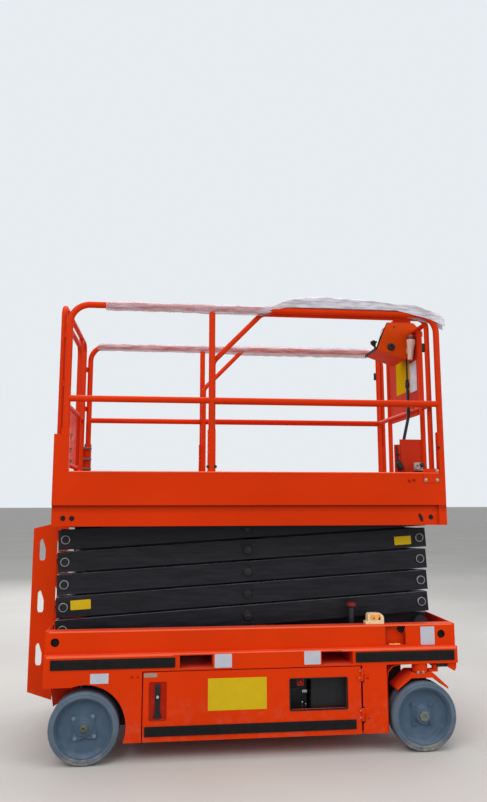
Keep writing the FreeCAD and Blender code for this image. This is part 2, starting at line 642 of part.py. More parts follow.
def outer_arms(index):
    arms = []
    pins = []
    for name, side in SIDES:
        bore_y = across(side, "inner_face", "outer_face + arm_width")
        bores = [rod("Y", x, bore_y, "0", "pin_radius + pin_fit") for x in ("0", "arm_middle", "arm_length")]
        arms.append(cut(join(arm_tubes(side, "outer_back", "outer_face")), bores))
        for x in ("0", "arm_middle", "arm_length"):
            root = "lug_face - bracket - ring_height" if (index, x) == (0, "0") else "inner_back"
            pins.append(rod("Y", x, across(side, root, "outer_face + ring_height"), "0", "pin_radius"))
            pins.append(rod("Y", x, across(side, "outer_face", "outer_face + ring_height"), "0", "ring_radius"))
        if index == max(LEVELS):
            track_y = across(side, "inner_face - roller_width", "inner_face")
            pins.append(rod("Y", "arm_length", track_y, "0", "roller_radius"))
    for label, features in (("outer_arms", arms), ("pivot_pins", pins)):
        piece = keep("%s_%d" % (label, index + 1), features)
        tilt(piece, "pin_rear", "pin_bottom + %d*pitch" % index, -1, "arm_angle")


def cylinder_lugs(root, eye):
    """Two plates that carry a cylinder eye beside a cross tube."""
    low, high = (eye, root) if root == "arm_length" else (root, eye)
    parts = []
    for name, side in SIDES:
        y = across(side, "eye_width/2 + lug_gap", "eye_width/2 + lug_gap + lug_plate")
        parts.append(slab((low, high), y, ("-cross_tube", "cross_tube")))
        parts.append(rod("Y", eye, y, "0", "cross_tube"))
    parts.append(rod("Y", eye, both("eye_width/2 + lug_gap"), "0", "pin_radius"))
    return parts


def inner_arms(index):
    parts = [rod("Y", x, both("inner_back"), "0", "cross_tube") for x in ("0", "arm_length")]
    bores = []
    for name, side in SIDES:
        parts += arm_tubes(side, "inner_back", "inner_face")
        parts.append(rod("Y", "arm_middle", across(side, "hub_tube_end", "inner_back"), "0", "hub_tube"))
        bore_y = across(side, "inner_back - roller_gap", "outer_face")
        bores += [rod("Y", x, bore_y, "0", "pin_radius + pin_fit") for x in ("0", "arm_middle", "arm_length")]
    if index == 0:
        parts += cylinder_lugs("arm_length", "(arm_middle + cylinder_reach)")
    if index == 1:
        parts += cylinder_lugs("0", "(arm_middle - cylinder_reach)")
    piece = keep("inner_arms_%d" % (index + 1), [cut(join(parts), bores)])
    tilt(piece, "pin_rear", "pin_bottom + %d*pitch" % (index + 1), 1, "arm_angle")


def end_pins():
    rollers = []
    hangers = []
    for name, side in SIDES:
        rollers.append(rod("Y", "arm_length", across(side, "inner_back", "outer_back"), "0", "pin_radius"))
        rollers.append(rod("Y", "arm_length", across(side, "outer_back", "outer_back + roller_width"), "0", "roller_radius"))
        hangers.append(rod("Y", "0", across(side, "inner_back", "outer_back + 2*bracket"), "0", "pin_radius"))
    tilt(keep("lower_rollers", rollers), "pin_rear", "pin_bottom + pitch", 1, "arm_angle")
    tilt(keep("upper_pins", hangers), "pin_rear", "pin_bottom + 5*pitch", 1, "arm_angle")


def lift_cylinder():
    eye_y = both("eye_width/2")
    neck_z = both("cross_tube - lug_gap")
    neck = "eye_radius + lug_gap"
    barrel = join([rod("Y", "0", eye_y, "0", "eye_radius"), slab(("0", neck), eye_y, neck_z),
                   rod("X", (neck, "barrel_end"), "0", "0", "cylinder_radius")])
    hollows = [rod("Y", "0", both("eye_width"), "0", "pin_radius + pin_fit"),
               rod("X", ("rod_start - rod_radius/2", "barrel_end + rod_radius"), "0", "0", "rod_radius + rod_fit")]
    tip = "rod_eye - eye_radius - lug_gap"
    shaft = join([rod("Y", "rod_eye", eye_y, "0", "eye_radius"), slab((tip, "rod_eye"), eye_y, neck_z),
                  rod("X", ("rod_start", tip), "0", "0", "rod_radius")])
    hole = [rod("Y", "rod_eye", both("eye_width"), "0", "pin_radius + pin_fit")]
    x = "pin_rear + (arm_middle + cylinder_reach)*pin_span/arm_length"
    z = "pin_bottom + pitch - (arm_middle + cylinder_reach)*pitch/arm_length"
    lean = "180 deg + atan(eye_rise/eye_run)"
    tilt(keep("lift_barrel", [cut(barrel, hollows)]), x, z, 1, lean)
    tilt(keep("lift_rod", [cut(shaft, hole)]), x, z, 1, lean)


def platform_frame():
    full = ("platform_rear", "platform_front")
    inside = ("platform_rear + toe_plate", "platform_front - toe_plate")
    under = "deck_top - deck_plate"
    beam_low = "deck_top - deck_plate - deck_beam"
    parts = [slab(full, both("toe_side - toe_plate"), (under, "deck_top")),
             slab(("platform_rear", "platform_rear + toe_plate"), both("toe_side"), ("band_top", "toe_top")),
             slab(("platform_rear", "platform_rear + toe_plate"), both("band_side"), ("platform_bottom", "band_top")),
             slab(("platform_front - toe_plate", "platform_front"), both("band_side"), ("platform_bottom", under))]
    for step in range(5):
        middle = "deck_beam_first + %d*deck_beam_pitch" % step
        parts.append(slab((middle + " - deck_beam_width/2", middle + " + deck_beam_width/2"),
                          both("band_side - toe_plate"), (beam_low, under)))
    bores = []
    for name, side in SIDES:
        bracket_y = across(side, "outer_back + roller_gap", "outer_back + bracket + roller_gap")
        parts += [
            slab(inside, across(side, "band_side - toe_plate", "band_side"), ("platform_bottom", under)),
            slab(inside, across(side, "band_side - rail_lip", "band_side"), ("platform_bottom", "platform_bottom + toe_plate")),
            slab(full, across(side, "band_side - toe_plate", "toe_side"), ("band_top", "band_top + toe_plate")),
            slab(full, across(side, "toe_side - toe_plate", "toe_side"), ("band_top", "toe_top")),
            slab(("platform_front - band_end", "platform_front"), across(side, "band_side - toe_plate", "toe_side"),
                 ("platform_bottom", "band_top")),
            slab(("platform_rear", "platform_rear + corner_length"), across(side, "toe_side - toe_plate", "toe_side"),
                 ("toe_top", "corner_top")),
            slab(("track_rear", "track_front"), across(side, "inner_face - roller_width", "inner_face"),
                 ("pin_bottom + 5*pitch + roller_radius + roller_gap", under)),
            slab(("pin_rear - bracket_half", "pin_rear + bracket_half"), bracket_y,
                 ("pin_bottom + 5*pitch - bracket_half/2", under))]
        bores.append(rod("Y", "pin_rear", across(side, "outer_back", "outer_face"), "pin_bottom + 5*pitch", "pin_radius + pin_fit"))
        bores.append(slab(("platform_rear - toe_plate", "platform_rear + 2*toe_plate"),
                          across(side, "inner_back - end_gap", "inner_face + end_gap"), ("platform_bottom - plate", "band_top")))
        for post in ("rail_rear", "rail_middle", "rail_front"):
            socket_front = post + " + socket_half" if post != "rail_front" else "platform_front"
            parts.append(slab((post + " - socket_half", socket_front), across(side, "rail_plane - socket_half", "toe_side"),
                              ("deck_top", "socket_top")))
            bores.append(rod("Z", post, "%d*rail_plane" % side, ("deck_top", "socket_top + toe_plate"), "tube_radius + pin_fit"))
    keep("platform_frame", [cut(join(parts), bores)])


def main_rails():
    for name, side in SIDES:
        y = "%d*rail_plane" % side
        hoop = [("rail_rear", y, "deck_top"), ("rail_rear", y, "top_rail"), ("rail_front", y, "top_rail"),
                ("rail_front", y, "deck_top")]
        keep("main_rail_" + name, [bent_tube(hoop, "tube_radius", "rail_bend"),
                                   rod("Z", "rail_middle", y, ("deck_top", "top_rail"), "tube_radius"),
                                   rod("X", ("rail_rear", "rail_front"), y, "mid_rail", "tube_radius")])


def rear_rail():
    hoop = [("gate_x", "-gate_post", "deck_top"), ("gate_x", "-gate_post", "top_rail"),
            ("gate_x", "gate_post", "top_rail"), ("gate_x", "gate_post", "deck_top")]
    parts = [bent_tube(hoop, "gate_tube", "slide_bend")]
    for name, side in SIDES:
        parts.append(rod("Z", "gate_x", "%d*gate_inner_post" % side, ("deck_top", "top_rail"), "gate_tube"))
        parts.append(rod("Y", "gate_x", across(side, "gate_inner_post", "gate_post"), "mid_rail", "gate_tube"))
    hinge_y = "-gate_hinge"
    spots = ("gate_hinge_low", "gate_hinge_high")
    for low in spots:
        lug = ("%s - gate_barrel" % low, low)
        parts.append(slab(("gate_x - gate_barrel", "gate_x + gate_barrel"), ("-gate_inner_post", hinge_y), lug))
        parts.append(rod("Z", "gate_x", hinge_y, lug, "gate_barrel"))
        parts.append(rod("Z", "gate_x", hinge_y, (low, low + " + 4*gate_barrel"), "hinge_pin"))
    keep("rear_rail", parts)
    foot = "gate_low - 2*gate_tube"
    hoop = [("gate_x", "-gate_edge", foot), ("gate_x", "-gate_edge", "gate_high"),
            ("gate_x", "gate_edge", "gate_high"), ("gate_x", "gate_edge", foot)]
    parts = [bent_tube(hoop, "gate_tube", "slide_bend")]
    parts += [rod("Y", "gate_x", both("gate_edge"), height, "gate_tube") for height in ("gate_low", "mid_rail")]
    bores = []
    for low in spots:
        tall = (low + " + film_gap", low + " + 4*gate_barrel")
        parts.append(rod("Z", "gate_x", hinge_y, tall, "gate_barrel"))
        parts.append(slab(("gate_x - gate_barrel/2", "gate_x + gate_barrel/2"), (hinge_y, "-gate_edge"), tall))
        bores.append(rod("Z", "gate_x", hinge_y, tall, "hinge_pin + pin_fit"))
    keep("entry_gate", [cut(join(parts), bores)])


def sliding_deck():
    low = "deck_top + slide_gap"
    length = ("slide_rear - 2*slide_tube", "slide_front + 2*slide_tube")
    parts = [slab(length, both("slide_side"), (low, "deck_floor"))]
    for name, side in SIDES:
        parts.append(slab(length, across(side, "slide_side", "slide_side + toe_plate"), (low, "slide_toe_top")))
    parts.append(slab(("slide_front + 2*slide_tube - toe_plate", "slide_front + 2*slide_tube"), both("slide_side"),
                      (low, "slide_toe_top")))
    keep("sliding_deck", parts)


def sliding_rails():
    fit = "slide_tube + pin_fit"
    below_knee = "slide_knee - slide_bend/2"
    past_peak = "slide_peak + slide_bend/2"
    rails = []
    for name, side in SIDES:
        y = "%d*slide_plane" % side
        hoop = [("slide_rear", y, "deck_floor"), ("slide_rear", y, "slide_knee"), ("slide_peak", y, "slide_top"),
                ("slide_front", y, "slide_top"), ("slide_front", y, "deck_floor")]
        beside = across(side, "slide_plane - 2*slide_tube", "slide_plane + 2*slide_tube")
        welds = [slab(("slide_rear - 2*slide_tube", "slide_rear + 2*slide_tube"), beside, (below_knee, below_knee + " + pin_fit")),
                 slab((past_peak, past_peak + " + pin_fit"), beside, ("slide_top - 2*slide_tube", "slide_top + 2*slide_tube"))]
        keep("sliding_hoop_" + name, [cut(bent_tube(hoop, "slide_tube", "slide_bend"), welds)])
        legs = [rod("Z", post, y, ("deck_floor", "slide_top"), fit) for post in ("slide_rear", "slide_front")]
        rails.append(cut(rod("X", ("slide_rear", "slide_front"), y, "mid_rail", "slide_tube"), legs))
    stops = ("-slide_plane", "-front_post_near", "front_post_far", "slide_plane")
    spans = [("mid_rail", low, high) for low, high in zip(stops, stops[1:])] + [("front_cross", stops[0], stops[-1])]
    for height, low, high in spans:
        rails.append(rod("Y", "slide_front", ("%s + %s" % (low, fit), "%s - (%s)" % (high, fit)), height, "slide_tube"))
    for post in stops[1:-1]:
        rails.append(rod("Z", "slide_front", post, ("deck_floor", "front_cross - (%s)" % fit), "slide_tube"))
    keep("sliding_rails", rails)


def front_panels():
    sheet_x = ("slide_front - front_sheet/2", "slide_front + front_sheet/2")
    between = ("slide_tube + pin_fit - front_post_near", "front_post_far - slide_tube - pin_fit")
    upper = slab(sheet_x, between, ("front_sheet_low", "front_cross"))
    rails = [rod("Y", "slide_front", between, height, "slide_tube + pin_fit") for height in ("mid_rail", "front_cross")]
    edge = "slide_front - slide_tube"
    lower = slab((edge + " - front_kick_length", edge), ("-front_post_near", "front_sheet - front_post_near"),
                 ("deck_floor", "front_kick_top"))
    keep("front_panels", [cut(upper, rails), lower])


BOX_SIDES = ("box_middle - box_width/2", "box_middle + box_width/2")
BOX_OUTLINE = [("box_rear + box_panel", "box_high"), ("box_rear + box_waist", "box_low + box_waist_height"),
               ("box_rear", "box_low + box_chin"), ("box_front - box_cut", "box_low"),
               ("box_front", "box_low + box_cut_rise"), ("box_front", "box_high")]


def control_cable():
    inside = "box_front - box_cut/2"
    behind = inside + " - cable_lean"
    conduit = [(inside, "cable_y", "conduit_top"), (inside, "cable_y", "front_sheet_low"),
               (behind, "cable_y", "front_kick_top"), (behind, "cable_y", "deck_floor")]
    cable = rod("Z", inside, "cable_y", ("conduit_top - cable_radius", "box_low + box_cut_rise"), "cable_radius")
    keep("control_cable", [cut(cable, [profile(BOX_OUTLINE, BOX_SIDES)]),
                           bent_tube(conduit, "conduit_radius", "cable_bend")])


def control_box():
    keep("control_box", [profile(BOX_OUTLINE, BOX_SIDES)])


def wrapping_film():
    for name, side, rear in (("near", -1, "film_rear"), ("far", 1, "film_far_rear")):
        y = "%d*rail_plane" % side
        sleeve = rod("X", (rear, "film_front"), y, "top_rail", "tube_radius + film_gap + film_wall")
        core = rod("X", (rear + " - film_wall", "film_front + film_wall"), y, "top_rail", "tube_radius + film_gap")
        post = rod("Z", "rail_middle", y, ("mid_rail", "top_rail"), "tube_radius + film_gap")
        keep("rail_film_" + name, [cut(sleeve, [core, post])])


chassis_frame()
centre_tub()
side_skirts()
rear_ladder()
rear_axle()
wheels()
steering()
side_doors()
inside_blocks()
beacon()
for level in LEVELS:
    outer_arms(level)
    inner_arms(level)
end_pins()
lift_cylinder()
platform_frame()
main_rails()
rear_rail()
sliding_deck()
sliding_rails()
front_panels()
control_cable()
control_box()
wrapping_film()
doc.recompute()

for item in doc.Objects:
    if "Invalid" in item.State or "Error" in item.State:
        raise RuntimeError("%s is %s" % (item.Label, item.State))
os.makedirs("parts", exist_ok=True)
for piece in KEPT:
    shape = piece.Shape
    if shape.isNull() or not shape.isValid() or shape.Volume <= 0:
        raise RuntimeError("%s has no valid shape" % piece.Label)
    shape.exportStep("parts/%s.step" % piece.Label)
    print("%-28s solids %2d  litres %8.2f" % (piece.Label, len(shape.Solids), shape.Volume / 1e6))
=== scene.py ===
# Scissor lift, dressed for the photograph's view: metres, +X to the steered end, -Y to the near side, +Z up
import json
import math
import random

import bmesh
import bpy
from mathutils import Matrix, Vector, noise


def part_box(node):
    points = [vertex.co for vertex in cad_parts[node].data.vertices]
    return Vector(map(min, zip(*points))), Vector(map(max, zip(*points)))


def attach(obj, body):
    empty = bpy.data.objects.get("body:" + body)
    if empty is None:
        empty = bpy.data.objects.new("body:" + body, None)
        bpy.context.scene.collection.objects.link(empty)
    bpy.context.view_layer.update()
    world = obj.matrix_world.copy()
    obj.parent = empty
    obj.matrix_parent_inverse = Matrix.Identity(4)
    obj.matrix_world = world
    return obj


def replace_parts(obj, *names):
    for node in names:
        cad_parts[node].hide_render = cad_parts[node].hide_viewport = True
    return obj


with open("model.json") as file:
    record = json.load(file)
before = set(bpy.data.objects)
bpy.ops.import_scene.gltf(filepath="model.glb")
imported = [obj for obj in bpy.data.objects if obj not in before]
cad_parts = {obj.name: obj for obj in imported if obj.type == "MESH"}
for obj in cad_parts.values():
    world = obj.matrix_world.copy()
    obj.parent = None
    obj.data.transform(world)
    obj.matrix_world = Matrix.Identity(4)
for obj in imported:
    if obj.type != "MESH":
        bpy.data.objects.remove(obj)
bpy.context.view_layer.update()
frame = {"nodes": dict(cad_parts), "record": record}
scene = bpy.context.scene
random.seed(7)

# Camera
CAMERA_PLACE = Vector((-0.4553, -4.5458, 1.4130))
CAMERA_YAW = 0.1119
CAMERA_PITCH = 0.1464
CAMERA_ROLL = -0.0006
FOCAL_PIXELS = 678.7
PHOTO_HEIGHT = 802
SENSOR = 36.0

# Places taken from the part's source
WHEELBASE_ENDS = {"rear": -0.884, "front": 1.035}
WHEEL_HEIGHT = 0.1905
HALF_WIDTH = 0.585
SIDE = 0.570
RAIL_SIDE = 0.540
ARM_FACE = 0.400
BAND_SIDE = 0.565
TOE_SIDE = 0.579
RAIL_PLANE = 0.555
SLIDE_PLANE = 0.506
SIDES = {"near": -1, "far": 1}
PIN_REAR = -1.038
PIN_FRONT = 1.106
PIN_MIDDLE = 0.034
PIN_BOTTOM = 0.677
PITCH = 0.128


def make_camera():
    forward = Vector((math.sin(CAMERA_YAW) * math.cos(CAMERA_PITCH),
                      math.cos(CAMERA_YAW) * math.cos(CAMERA_PITCH), math.sin(CAMERA_PITCH)))
    right = Vector((math.cos(CAMERA_YAW), -math.sin(CAMERA_YAW), 0.0))
    up = right.cross(forward)
    turn = Matrix((right, up, -forward)).transposed().to_4x4()
    data = bpy.data.cameras.new("camera")
    data.sensor_width = SENSOR
    data.lens = FOCAL_PIXELS * SENSOR / PHOTO_HEIGHT
    data.clip_end = 400.0
    camera = bpy.data.objects.new("camera", data)
    camera.matrix_world = Matrix.Translation(CAMERA_PLACE) @ turn @ Matrix.Rotation(CAMERA_ROLL, 4, "Z")
    scene.collection.objects.link(camera)
    scene.camera = camera


class Graph:
    """A material's node tree, written from the top down."""

    def __init__(self, name):
        self.material = bpy.data.materials.new(name)
        self.material.use_nodes = True
        self.tree = self.material.node_tree
        self.shader = self.tree.nodes["Principled BSDF"]
        self.place = self.tree.nodes.new("ShaderNodeTexCoord").outputs["Object"]

    def node(self, kind, **inputs):
        made = self.tree.nodes.new(kind)
        for key, value in inputs.items():
            self.feed(made.inputs[key.replace("_", " ")], value)
        return made

    def feed(self, socket, value):
        if isinstance(value, bpy.types.NodeSocket):
            self.tree.links.new(value, socket)
        else:
            socket.default_value = value

    def noise(self, scale, detail=3.0, rough=0.55, place=None):
        made = self.node("ShaderNodeTexNoise", Scale=scale, Detail=detail, Roughness=rough)
        self.feed(made.inputs["Vector"], place or self.place)
        return made.outputs["Fac"]

    def band(self, value, low, high, to_low=0.0, to_high=1.0):
        made = self.node("ShaderNodeMapRange")
        self.feed(made.inputs["Value"], value)
        for key, number in (("From Min", low), ("From Max", high), ("To Min", to_low), ("To Max", to_high)):
            made.inputs[key].default_value = number
        return made.outputs["Result"]

    def sum(self, operation, first, second=0.0):
        made = self.tree.nodes.new("ShaderNodeMath")
        made.operation = operation
        self.feed(made.inputs[0], first)
        self.feed(made.inputs[1], second)
        return made.outputs["Value"]

    def mix(self, factor, first, second):
        made = self.tree.nodes.new("ShaderNodeMix")
        made.data_type = "RGBA"
        self.feed(made.inputs["Factor"], factor)
        for socket, value in ((made.inputs[6], first), (made.inputs[7], second)):
            self.feed(socket, value if isinstance(value, bpy.types.NodeSocket) else (*value, 1.0))
        return made.outputs[2]

    def stretched(self, x, y, z):
        made = self.node("ShaderNodeMapping", Scale=(x, y, z))
        self.feed(made.inputs["Vector"], self.place)
        return made.outputs["Vector"]

    def axis(self, letter):
        split = self.node("ShaderNodeSeparateXYZ")
        self.feed(split.inputs["Vector"], self.place)
        return split.outputs[letter]

    def facing_up(self):
        normal = self.node("ShaderNodeNewGeometry").outputs["Normal"]
        split = self.node("ShaderNodeSeparateXYZ")
        self.feed(split.inputs["Vector"], normal)
        return split.outputs["Z"]

    def bump(self, height, strength, distance=0.002):
        made = self.node("ShaderNodeBump", Strength=strength, Distance=distance, Height=height)
        self.feed(self.shader.inputs["Normal"], made.outputs["Normal"])

    def finish(self, colour, rough, **fixed):
        self.feed(self.shader.inputs["Base Color"], colour)
        self.feed(self.shader.inputs["Roughness"], rough)
        for key, value in fixed.items():
            self.shader.inputs[key.replace("_", " ")].default_value = value
        return self.material


DUST = (0.36, 0.30, 0.24)


def painted(name, colour, rough=0.44, dust=0.08, low_dirt=0.16, variation=0.06, coat=0.0, peel=0.05, tread=None, shine=0.07):
    """Sprayed paint: slow colour drift, a painted highlight and dust on what faces up, road dirt low down, and chequer
    plate with painted shade below its ledge where asked.
    """
    g = Graph(name)
    darker = tuple(c * (1 - variation) for c in colour)
    lighter = tuple(min(1.0, c * (1 + variation)) for c in colour)
    tone = g.mix(g.band(g.noise(1.4), 0.35, 0.65), darker, lighter)
    smudge = g.band(g.noise(9.0, 5.0, place=g.stretched(1, 1, 2.5)), 0.56, 0.76, 0.0, 0.08)
    tone = g.mix(smudge, tone, tuple(c * 0.7 + d * 0.04 for c, d in zip(colour, DUST)))
    upward = g.band(g.facing_up(), 0.6, 1.0)
    # Painted highlight: faces that look up take a lighter copy of the paint's own colour.
    tone = g.mix(g.sum("MULTIPLY", upward, g.band(g.noise(5.0), 0.3, 0.6, 0.35, 0.6)), tone,
                 tuple(min(1.0, c * 1.3 + 0.05) for c in colour))
    settled = g.sum("MULTIPLY", upward, g.band(g.noise(16.0, 6.0), 0.4, 0.7, 0.0, dust))
    tone = g.mix(settled, tone, DUST)
    splash = g.sum("MULTIPLY", g.band(g.axis("Z"), 0.42, 0.05), g.band(g.noise(22.0, 7.0), 0.45, 0.75, 0.0, low_dirt))
    tone = g.mix(splash, tone, DUST)
    gloss = g.band(g.noise(34.0, 4.0), 0.3, 0.7, rough - 0.06, rough + 0.09)
    skin = g.sum("MULTIPLY", g.noise(420.0, 2.0), peel)
    if tread:
        inside = g.sum("LESS_THAN", g.sum("ABSOLUTE", g.sum("SUBTRACT", g.axis("Z"), tread[0])), tread[1])
        raised = g.sum("MULTIPLY", g.sum("MULTIPLY", inside, upward), chequer(g))
        tone = g.mix(g.sum("MULTIPLY", g.band(raised, 0.5, 0.9), g.band(g.noise(14.0, 5.0), 0.45, 0.65, 0.0, 0.4)),
                     tone, tuple(c * 0.5 + 0.2 for c in colour))
        # Painted shade: the paint darkens towards the ledge height tread[2] from below, as under the overhanging toe
        # board.
        ledge = g.sum("LESS_THAN", g.axis("Z"), tread[2])
        painted_ledge_shade = g.sum("MULTIPLY", ledge, g.band(g.axis("Z"), tread[2] - 0.045, tread[2] - 0.006, 0.0, 0.75))
        tone = g.mix(painted_ledge_shade, tone, tuple(c * 0.40 for c in colour))
        skin = g.sum("ADD", skin, g.sum("MULTIPLY", raised, 2.0))
    g.bump(skin, 1.0 if tread else 0.6, 0.001)
    return g.finish(tone, gloss, Coat_Weight=coat, Coat_Roughness=0.2, Specular_IOR_Level=shine)


def chequer(g):
    """Short raised lenses that lie one way and the other by turns."""
    x, y = g.axis("X"), g.axis("Y")
    along = g.sum("MULTIPLY", g.sum("ADD", x, y), 34.0)
    across = g.sum("MULTIPLY", g.sum("SUBTRACT", x, y), 34.0)
    turn = g.sum("PINGPONG", g.sum("ADD", g.sum("FLOOR", along), g.sum("FLOOR", across)), 1.0)
    a = g.sum("ABSOLUTE", g.sum("SUBTRACT", g.sum("FRACT", along), 0.5))
    b = g.sum("ABSOLUTE", g.sum("SUBTRACT", g.sum("FRACT", across), 0.5))

    def lens(long, short):
        first = g.sum("POWER", g.sum("DIVIDE", long, 0.44), 2.0)
        second = g.sum("POWER", g.sum("DIVIDE", short, 0.15), 2.0)
        return g.sum("MAXIMUM", g.sum("SUBTRACT", 1.0, g.sum("ADD", first, second)), 0.0)

    one = g.sum("MULTIPLY", lens(a, b), turn)
    return g.sum("ADD", one, g.sum("MULTIPLY", lens(b, a), g.sum("SUBTRACT", 1.0, turn)))


def satin_black(name, colour, rough):
    """Paint of the scissor arms: near black, with a cold sheen, wiped streaks along the tubes, and fine dust on what
    faces up that also serves as a painted highlight along the top edges.
    """
    g = Graph(name)
    streak = g.noise(6.0, 6.0, place=g.stretched(1, 1, 9))
    tone = g.mix(g.band(streak, 0.4, 0.7), colour, tuple(c * 1.7 + 0.004 for c in colour))
    # Lighter grey on what faces up: partly dust, partly a painted highlight on the arms' rounded top edges.
    dust = g.sum("MULTIPLY", g.band(g.facing_up(), 0.1, 0.5), g.band(g.noise(12.0, 6.0), 0.35, 0.7, 0.6, 0.95))
    tone = g.mix(dust, tone, (0.30, 0.30, 0.34))
    speck = g.band(g.noise(160.0, 2.0), 0.68, 0.78, 0.0, 0.2)
    tone = g.mix(speck, tone, (0.07, 0.07, 0.075))
    g.bump(g.noise(300.0, 3.0), 0.06, 0.001)
    return g.finish(tone, g.band(streak, 0.3, 0.7, rough - 0.07, rough + 0.12), Specular_IOR_Level=0.2)


def rubber(name, colour, scuff=0.35):
    """Solid rubber: matt, mottled, with pale scuffs and a dusty lower rim."""
    g = Graph(name)
    tone = g.mix(g.band(g.noise(7.0, 4.0), 0.35, 0.65), tuple(c * 0.86 for c in colour), tuple(c * 1.16 for c in colour))
    tone = g.mix(g.band(g.noise(45.0, 6.0), 0.58, 0.78, 0.0, scuff), tone, tuple(c * 0.6 + 0.13 for c in colour))
    tone = g.mix(g.sum("MULTIPLY", g.band(g.axis("Z"), 0.07, 0.0), g.band(g.noise(30.0, 6.0), 0.35, 0.65)), tone, DUST)
    g.bump(g.noise(220.0, 5.0), 0.18, 0.001)
    return g.finish(tone, g.band(g.noise(28.0), 0.3, 0.7, 0.62, 0.86), Specular_IOR_Level=0.2)


def moulded(name, colour, rough=0.5, grain=700.0):
    """Moulded plastic: fine leather-like grain and rubbed patches."""
    g = Graph(name)
    tone = g.mix(g.band(g.noise(11.0, 5.0), 0.4, 0.7), colour, tuple(min(1.0, c * 1.18 + 0.006) for c in colour))
    g.bump(g.noise(grain, 2.0), 0.16, 0.0006)
    return g.finish(tone, g.band(g.noise(40.0, 3.0), 0.3, 0.7, rough - 0.08, rough + 0.1), Specular_IOR_Level=0.25)


def metal(name, colour, rough=0.32, rust=0.0):
    """Turned or plated steel with fine scratches, and rust where asked."""
    g = Graph(name)
    scratch = g.noise(60.0, 8.0, place=g.stretched(1, 14, 1))
    tone = g.mix(g.band(scratch, 0.35, 0.7), tuple(c * 0.72 for c in colour), colour)
    tone = g.mix(g.band(g.noise(30.0, 7.0), 0.55, 0.7, 0.0, rust), tone, (0.23, 0.09, 0.035))
    g.bump(scratch, 0.08, 0.0008)
    return g.finish(tone, g.band(scratch, 0.3, 0.7, rough - 0.08, rough + 0.12), Metallic=0.9)


def printed_plate(name, colour, shine=0.15):
    """A bare sign plate: faintly uneven film with rubbed, dusty patches."""
    g = Graph(name)
    tone = g.mix(g.band(g.noise(18.0, 5.0), 0.35, 0.7, 0.0, 0.5), colour, tuple(c * 0.86 for c in colour))
    tone = g.mix(g.band(g.noise(90.0, 6.0), 0.66, 0.8, 0.0, 0.5), tone, DUST)
    g.bump(g.noise(35.0, 3.0), 0.1, 0.0008)
    return g.finish(tone, g.band(g.noise(25.0), 0.3, 0.7, 0.35, 0.5), Specular_IOR_Level=shine)


def film_look(name, loose):
    """Protective film: milky, see-through where it clings to the rail, white where it stands off in a bunch."""
    g = Graph(name)
    crease = g.noise(26.0, 3.0, 0.5, place=g.stretched(0.35, 2.2, 2.2))
    tone = g.mix(g.band(crease, 0.35, 0.7), (0.44, 0.34, 0.37), (0.60, 0.52, 0.57))
    cling = g.band(crease, 0.34, 0.66, 0.42, 0.72)
    if loose:
        away = g.band(g.axis("X"), 0.0, 0.35)
        tone = g.mix(away, tone, g.mix(g.band(crease, 0.4, 0.62), (0.40, 0.36, 0.40), (0.54, 0.52, 0.57)))
        cling = g.sum("ADD", cling, g.sum("MULTIPLY", away, 0.4))
    g.bump(g.noise(36.0, 3.0, 0.5, place=g.stretched(0.4, 2.5, 2.5)), 0.22, 0.004)
    g.feed(g.shader.inputs["Alpha"], g.sum("MINIMUM", cling, 1.0))
    return g.finish(tone, g.band(crease, 0.3, 0.7, 0.22, 0.45), Coat_Weight=0.3, Coat_Roughness=0.1)


def glowing_lens(name, colour):
    """Moulded lens of a lamp: deep colour, ribbed, wet-looking."""
    g = Graph(name)
    rib = g.sum("ABSOLUTE", g.sum("SINE", g.sum("MULTIPLY", g.axis("X"), 420.0)))
    tone = g.mix(g.band(g.noise(30.0), 0.35, 0.7), colour, tuple(min(1.0, c * 1.3 + 0.04) for c in colour))
    g.bump(rib, 0.35, 0.001)
    return g.finish(tone, g.band(g.noise(40.0), 0.3, 0.7, 0.12, 0.22), Coat_Weight=0.8, Coat_Roughness=0.04)


